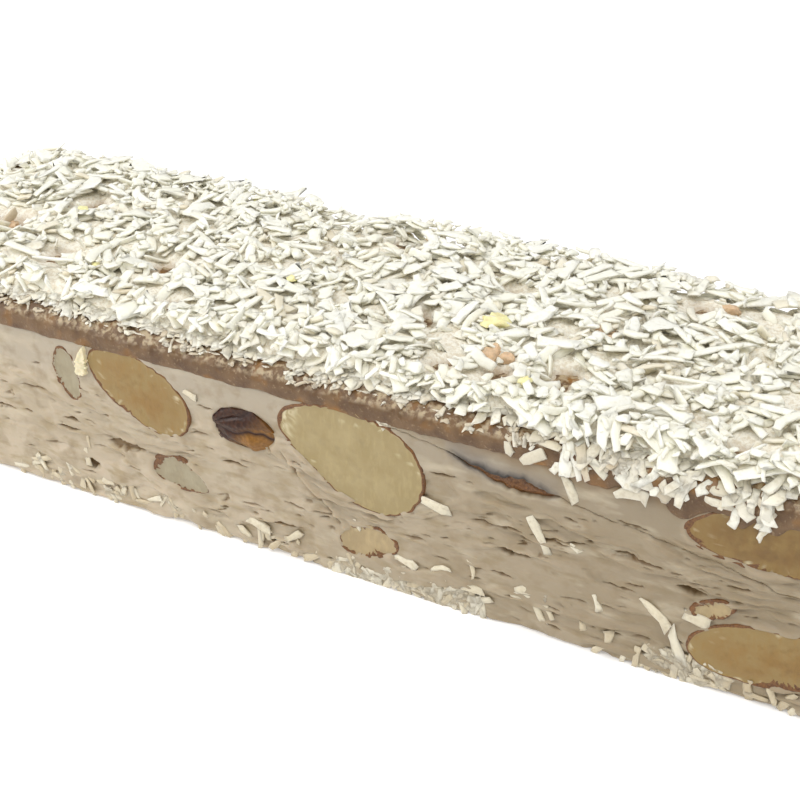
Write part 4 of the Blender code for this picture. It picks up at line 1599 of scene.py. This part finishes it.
def almond_material(name, middle, outer):
    """A cut almond: clouded, grained flesh, whitish fibres where it chipped, and a brown skin."""
    nut = Surface("almond_" + name, 0.42, subsurface=0.2, radius=(1.4, 1.0, 0.5))
    clouds = nut.noise(2.6, 3)
    grain = nut.noise(0.5, 4, nut.stretched((1, 1, 0.35)))
    fine = nut.noise(0.22, 3)
    flesh = nut.blend(clouds, middle, outer, 0.38, 0.62)
    flesh = nut.blend(nut.noise(1.1, 4), flesh, tinted(middle, 0.78), 0.52, 0.85)
    flesh = nut.blend("core", outer, flesh, 0.0, 0.5)
    flesh = nut.blend(grain, flesh, tinted(middle, 1.12), 0.5, 0.9)
    flesh = nut.blend("chipped", flesh, "nut fibres")
    brown = nut.blend(fine, "skin", "skin light", 0.3, 0.7)
    nut.colour(nut.blend("skin", flesh, brown, 0.35, 0.65))
    nut.gloss(clouds, 0.34, 0.55)
    nut.bump((grain, 0.05), (fine, 0.02))
    return nut.made


def raisin_material():
    """A raisin: nearly black, with amber where it is thin, and painted shade in the creases between
    its folds.
    """
    fruit = Surface("raisin", 0.34, subsurface=0.12, radius=(1.2, 0.5, 0.2))
    fruit.shader.inputs["Specular IOR Level"].default_value = 0.28
    fine = fruit.noise(0.4, 3)
    dark = fruit.blend(fine, "raisin", "raisin light", 0.3, 0.7)
    amber = fruit.blend(fine, "amber", "amber light", 0.3, 0.7)
    tone = fruit.blend("amber", dark, amber, 0.1, 0.9)
    # Painted shade in the creases between the folds.
    fruit.colour(fruit.blend("fold", tone, "raisin fold", 0.35, 0.9))
    fruit.bump((fruit.noise(0.3, 4), 0.04))
    return fruit.made


def caramel_material():
    """Sticky caramel with amber spots, and paler crumbs in it towards its top."""
    toffee = Surface("caramel", 0.42, subsurface=0.12, radius=(1.5, 0.7, 0.3))
    fine = toffee.noise(0.45, 4)
    base = toffee.blend(toffee.noise(2.2, 4), "caramel", "caramel cloud", 0.35, 0.65)
    base = toffee.blend(toffee.noise(4, 2), base, "toffee", 0.56, 0.70)
    base = toffee.blend(fine, base, "caramel grain", 0.58, 0.80)
    crumbs = toffee.blend(toffee.noise(0.8, 4), base, "caramel crumb", 0.46, 0.62)
    toffee.colour(toffee.blend("crumbly", base, crumbs, 0.2, 1.0))
    toffee.gloss(fine, 0.36, 0.6, 0.35, 0.7)
    toffee.bump((fine, 0.10), (toffee.noise(0.2, 3), 0.03))
    return toffee.made


def coconut_material(name, kind):
    """Shredded coconut of a kind in COLOURS. Each shred has its own tone and stain."""
    flake = Surface(name, 0.5, subsurface=0.5, radius=(0.7, 0.7, 0.7))
    fibre = flake.noise(0.6, 4)
    pale = flake.blend("tone", kind, kind + " light", 0, 0.6)
    pale = flake.blend(fibre, tinted(COLOURS[kind], 0.95), pale, 0.3, 0.5)
    pale = flake.blend("tone", pale, "cream", 0.93, 0.97)
    # stain: caramel at bare spots, and on the lower shreds also painted warm shade in the gaps.
    flake.colour(flake.blend("stain", pale, kind + " stain", 0, 1.1))
    flake.gloss(fibre, 0.40, 0.65)
    flake.bump((fibre, 0.09), (flake.noise(0.2, 3), 0.03))
    return flake.made


def crumb_material(name):
    """A crumb of a kind in COLOURS."""
    crumb = Surface(name, 0.6, subsurface=0.15, radius=(1.0, 0.7, 0.4))
    fine = crumb.noise(0.5, 4)
    crumb.colour(crumb.blend(fine, name, tinted(COLOURS[name], 1.4), 0.35, 0.7))
    crumb.gloss(fine, 0.45, 0.7)
    crumb.bump((fine, 0.12))
    return crumb.made


def core_material():
    """Packed coconut, darker than the loose shreds as painted shade in the gaps between them, which
    caramel stains where it lies thin.
    """
    packed = Surface("packed_coconut", 0.7)
    fine = packed.noise(0.5, 5, rough=0.6)
    base = packed.blend(fine, "packed", "packed light", 0.38, 0.56)
    packed.colour(packed.blend("stain", base, "packed stain", 0.3, 1.0))
    packed.bump((fine, 0.35), (packed.noise(0.2, 3), 0.08))
    return packed.made


# ---------------------------------------------------------------------------------------------
# The bar


def make_coconut():
    """The heap on top, the fringe on the caramel's edge, and strays on the cut faces."""
    white = coconut_material("coconut", "coconut")
    make_core(core_material())
    random = np.random.default_rng(12)
    heap = Heap()
    fallen = {name: heap_shreds(heap, random, kind) for name, kind in KINDS.items()}
    standing = standing_shreds(heap, random, STANDING)
    # Lower shreds are browned: caramel, and painted warm shade in the heap's gaps.
    for name, (least, most) in RUBBED_AND_GAP_SHADE.items():
        fallen[name] = browned(fallen[name], least, most)
    groups = (
        ("coconut_sunk", joined(fallen["sunk"], standing), {"stations": 5}),
        ("coconut_shreds", joined(fallen["first"], fallen["second"]), {}),
        ("coconut_flakes", fallen["flakes"], {"ragged": 0.14, "curl": 0.12}),
        ("coconut_bits", joined(fallen["under"], fallen["over"]), {"stations": 4, "ragged": 0.25}),
    )
    for name, shreds, options in groups:
        make_shreds(name, shreds, random, white, **options)
    make_fringe(coconut_material("moist_coconut", "moist"))
    make_strays(coconut_material("damp_coconut", "damp"))
    make_crumbs("toasted_crumbs", TOASTED, heap, crumb_material("toasted"), TOASTED_HEIGHT)
    make_crumbs("yellow_flakes", YELLOWED, heap, crumb_material("yellowed"), YELLOWED_HEIGHT)


def make_bar():
    """Every piece of the bar."""
    make_nougat(nougat_material())
    flesh = {name: almond_material(name, *pair) for name, pair in FLESH_COLOURS.items()}
    for seed, node in enumerate(CUTS):
        if node not in (SLIT, CHIP, RAISIN):
            make_nut(node, seed, flesh)
    make_slit(flesh["tan"])
    make_chip(flesh["pale"])
    make_raisin(raisin_material())
    make_caramel(caramel_material())
    make_coconut()
    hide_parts("coconut_coat")


# ---------------------------------------------------------------------------------------------
# Stage, lights and camera

CAMERA_PLACE = (0.06980, -0.13865, 0.10545)  # metres
CAMERA_AIM = (-0.38726, 0.76831, -0.50963)  # direction of view
CAMERA_LENS = 63.03
CAMERA_SENSOR = 36
NEAREST_SEEN = 0.005

FLOOR_REACH = 4.0
FLOOR_SHADER = {
    "Base Color": (0.9, 0.9, 0.9, 1),
    "Roughness": 0.9,
    "Specular IOR Level": 0.0,
    "Emission Color": (1, 1, 1, 1),
    "Emission Strength": 0.2,
}

# Round lamps: place, aim and width in metres, and power in watts.
LAMPS = {
    "overhead": ((0.0, -0.42, 1.43), (0.0, 0.0, 0.0), 1.5, 15.5),
    "window": ((-0.30, -0.22, 0.18), (-0.03, -0.02, 0.01), 0.16, 0.42),
}
SKY_STRENGTH = 0.56


def make_stage():
    """A plain pale floor."""
    mesh = bpy.data.meshes.new("floor")
    reach = FLOOR_REACH
    corners = [(-reach, -reach, 0), (reach, -reach, 0), (reach, reach, 0), (-reach, reach, 0)]
    mesh.from_pydata(corners, [], [(0, 1, 2, 3)])
    floor = bpy.data.objects.new("floor", mesh)
    bpy.context.scene.collection.objects.link(floor)
    paper = bpy.data.materials.new("floor_paper")
    paper.use_nodes = True
    shader = paper.node_tree.nodes["Principled BSDF"]
    for label, value in FLOOR_SHADER.items():
        shader.inputs[label].default_value = value
    mesh.materials.append(paper)


def make_lights():
    """Soft light from above, a little more from the left, and an even white sky."""
    world = bpy.data.worlds.new("studio")
    bpy.context.scene.world = world
    world.use_nodes = True
    background = world.node_tree.nodes["Background"]
    background.inputs["Color"].default_value = (1, 1, 1, 1)
    background.inputs["Strength"].default_value = SKY_STRENGTH
    for name, (place, aim, width, power) in LAMPS.items():
        light = bpy.data.lights.new(name, "AREA")
        light.shape = "DISK"
        light.size = width
        light.energy = power
        lamp = bpy.data.objects.new(name, light)
        lamp.location = place
        lamp.rotation_euler = (Vector(aim) - Vector(place)).to_track_quat("-Z", "Y").to_euler()
        bpy.context.scene.collection.objects.link(lamp)


def make_camera():
    """The photograph's view."""
    lens = bpy.data.cameras.new("camera")
    lens.lens = CAMERA_LENS
    lens.sensor_width = CAMERA_SENSOR
    lens.clip_start = NEAREST_SEEN
    camera = bpy.data.objects.new("camera", lens)
    camera.location = CAMERA_PLACE
    camera.rotation_euler = Vector(CAMERA_AIM).to_track_quat("-Z", "Y").to_euler()
    bpy.context.scene.collection.objects.link(camera)
    bpy.context.scene.camera = camera
    bpy.context.scene.view_settings.view_transform = "Standard"


def main():
    """Makes the scene."""
    make_bar()
    make_stage()
    make_lights()
    make_camera()


main()
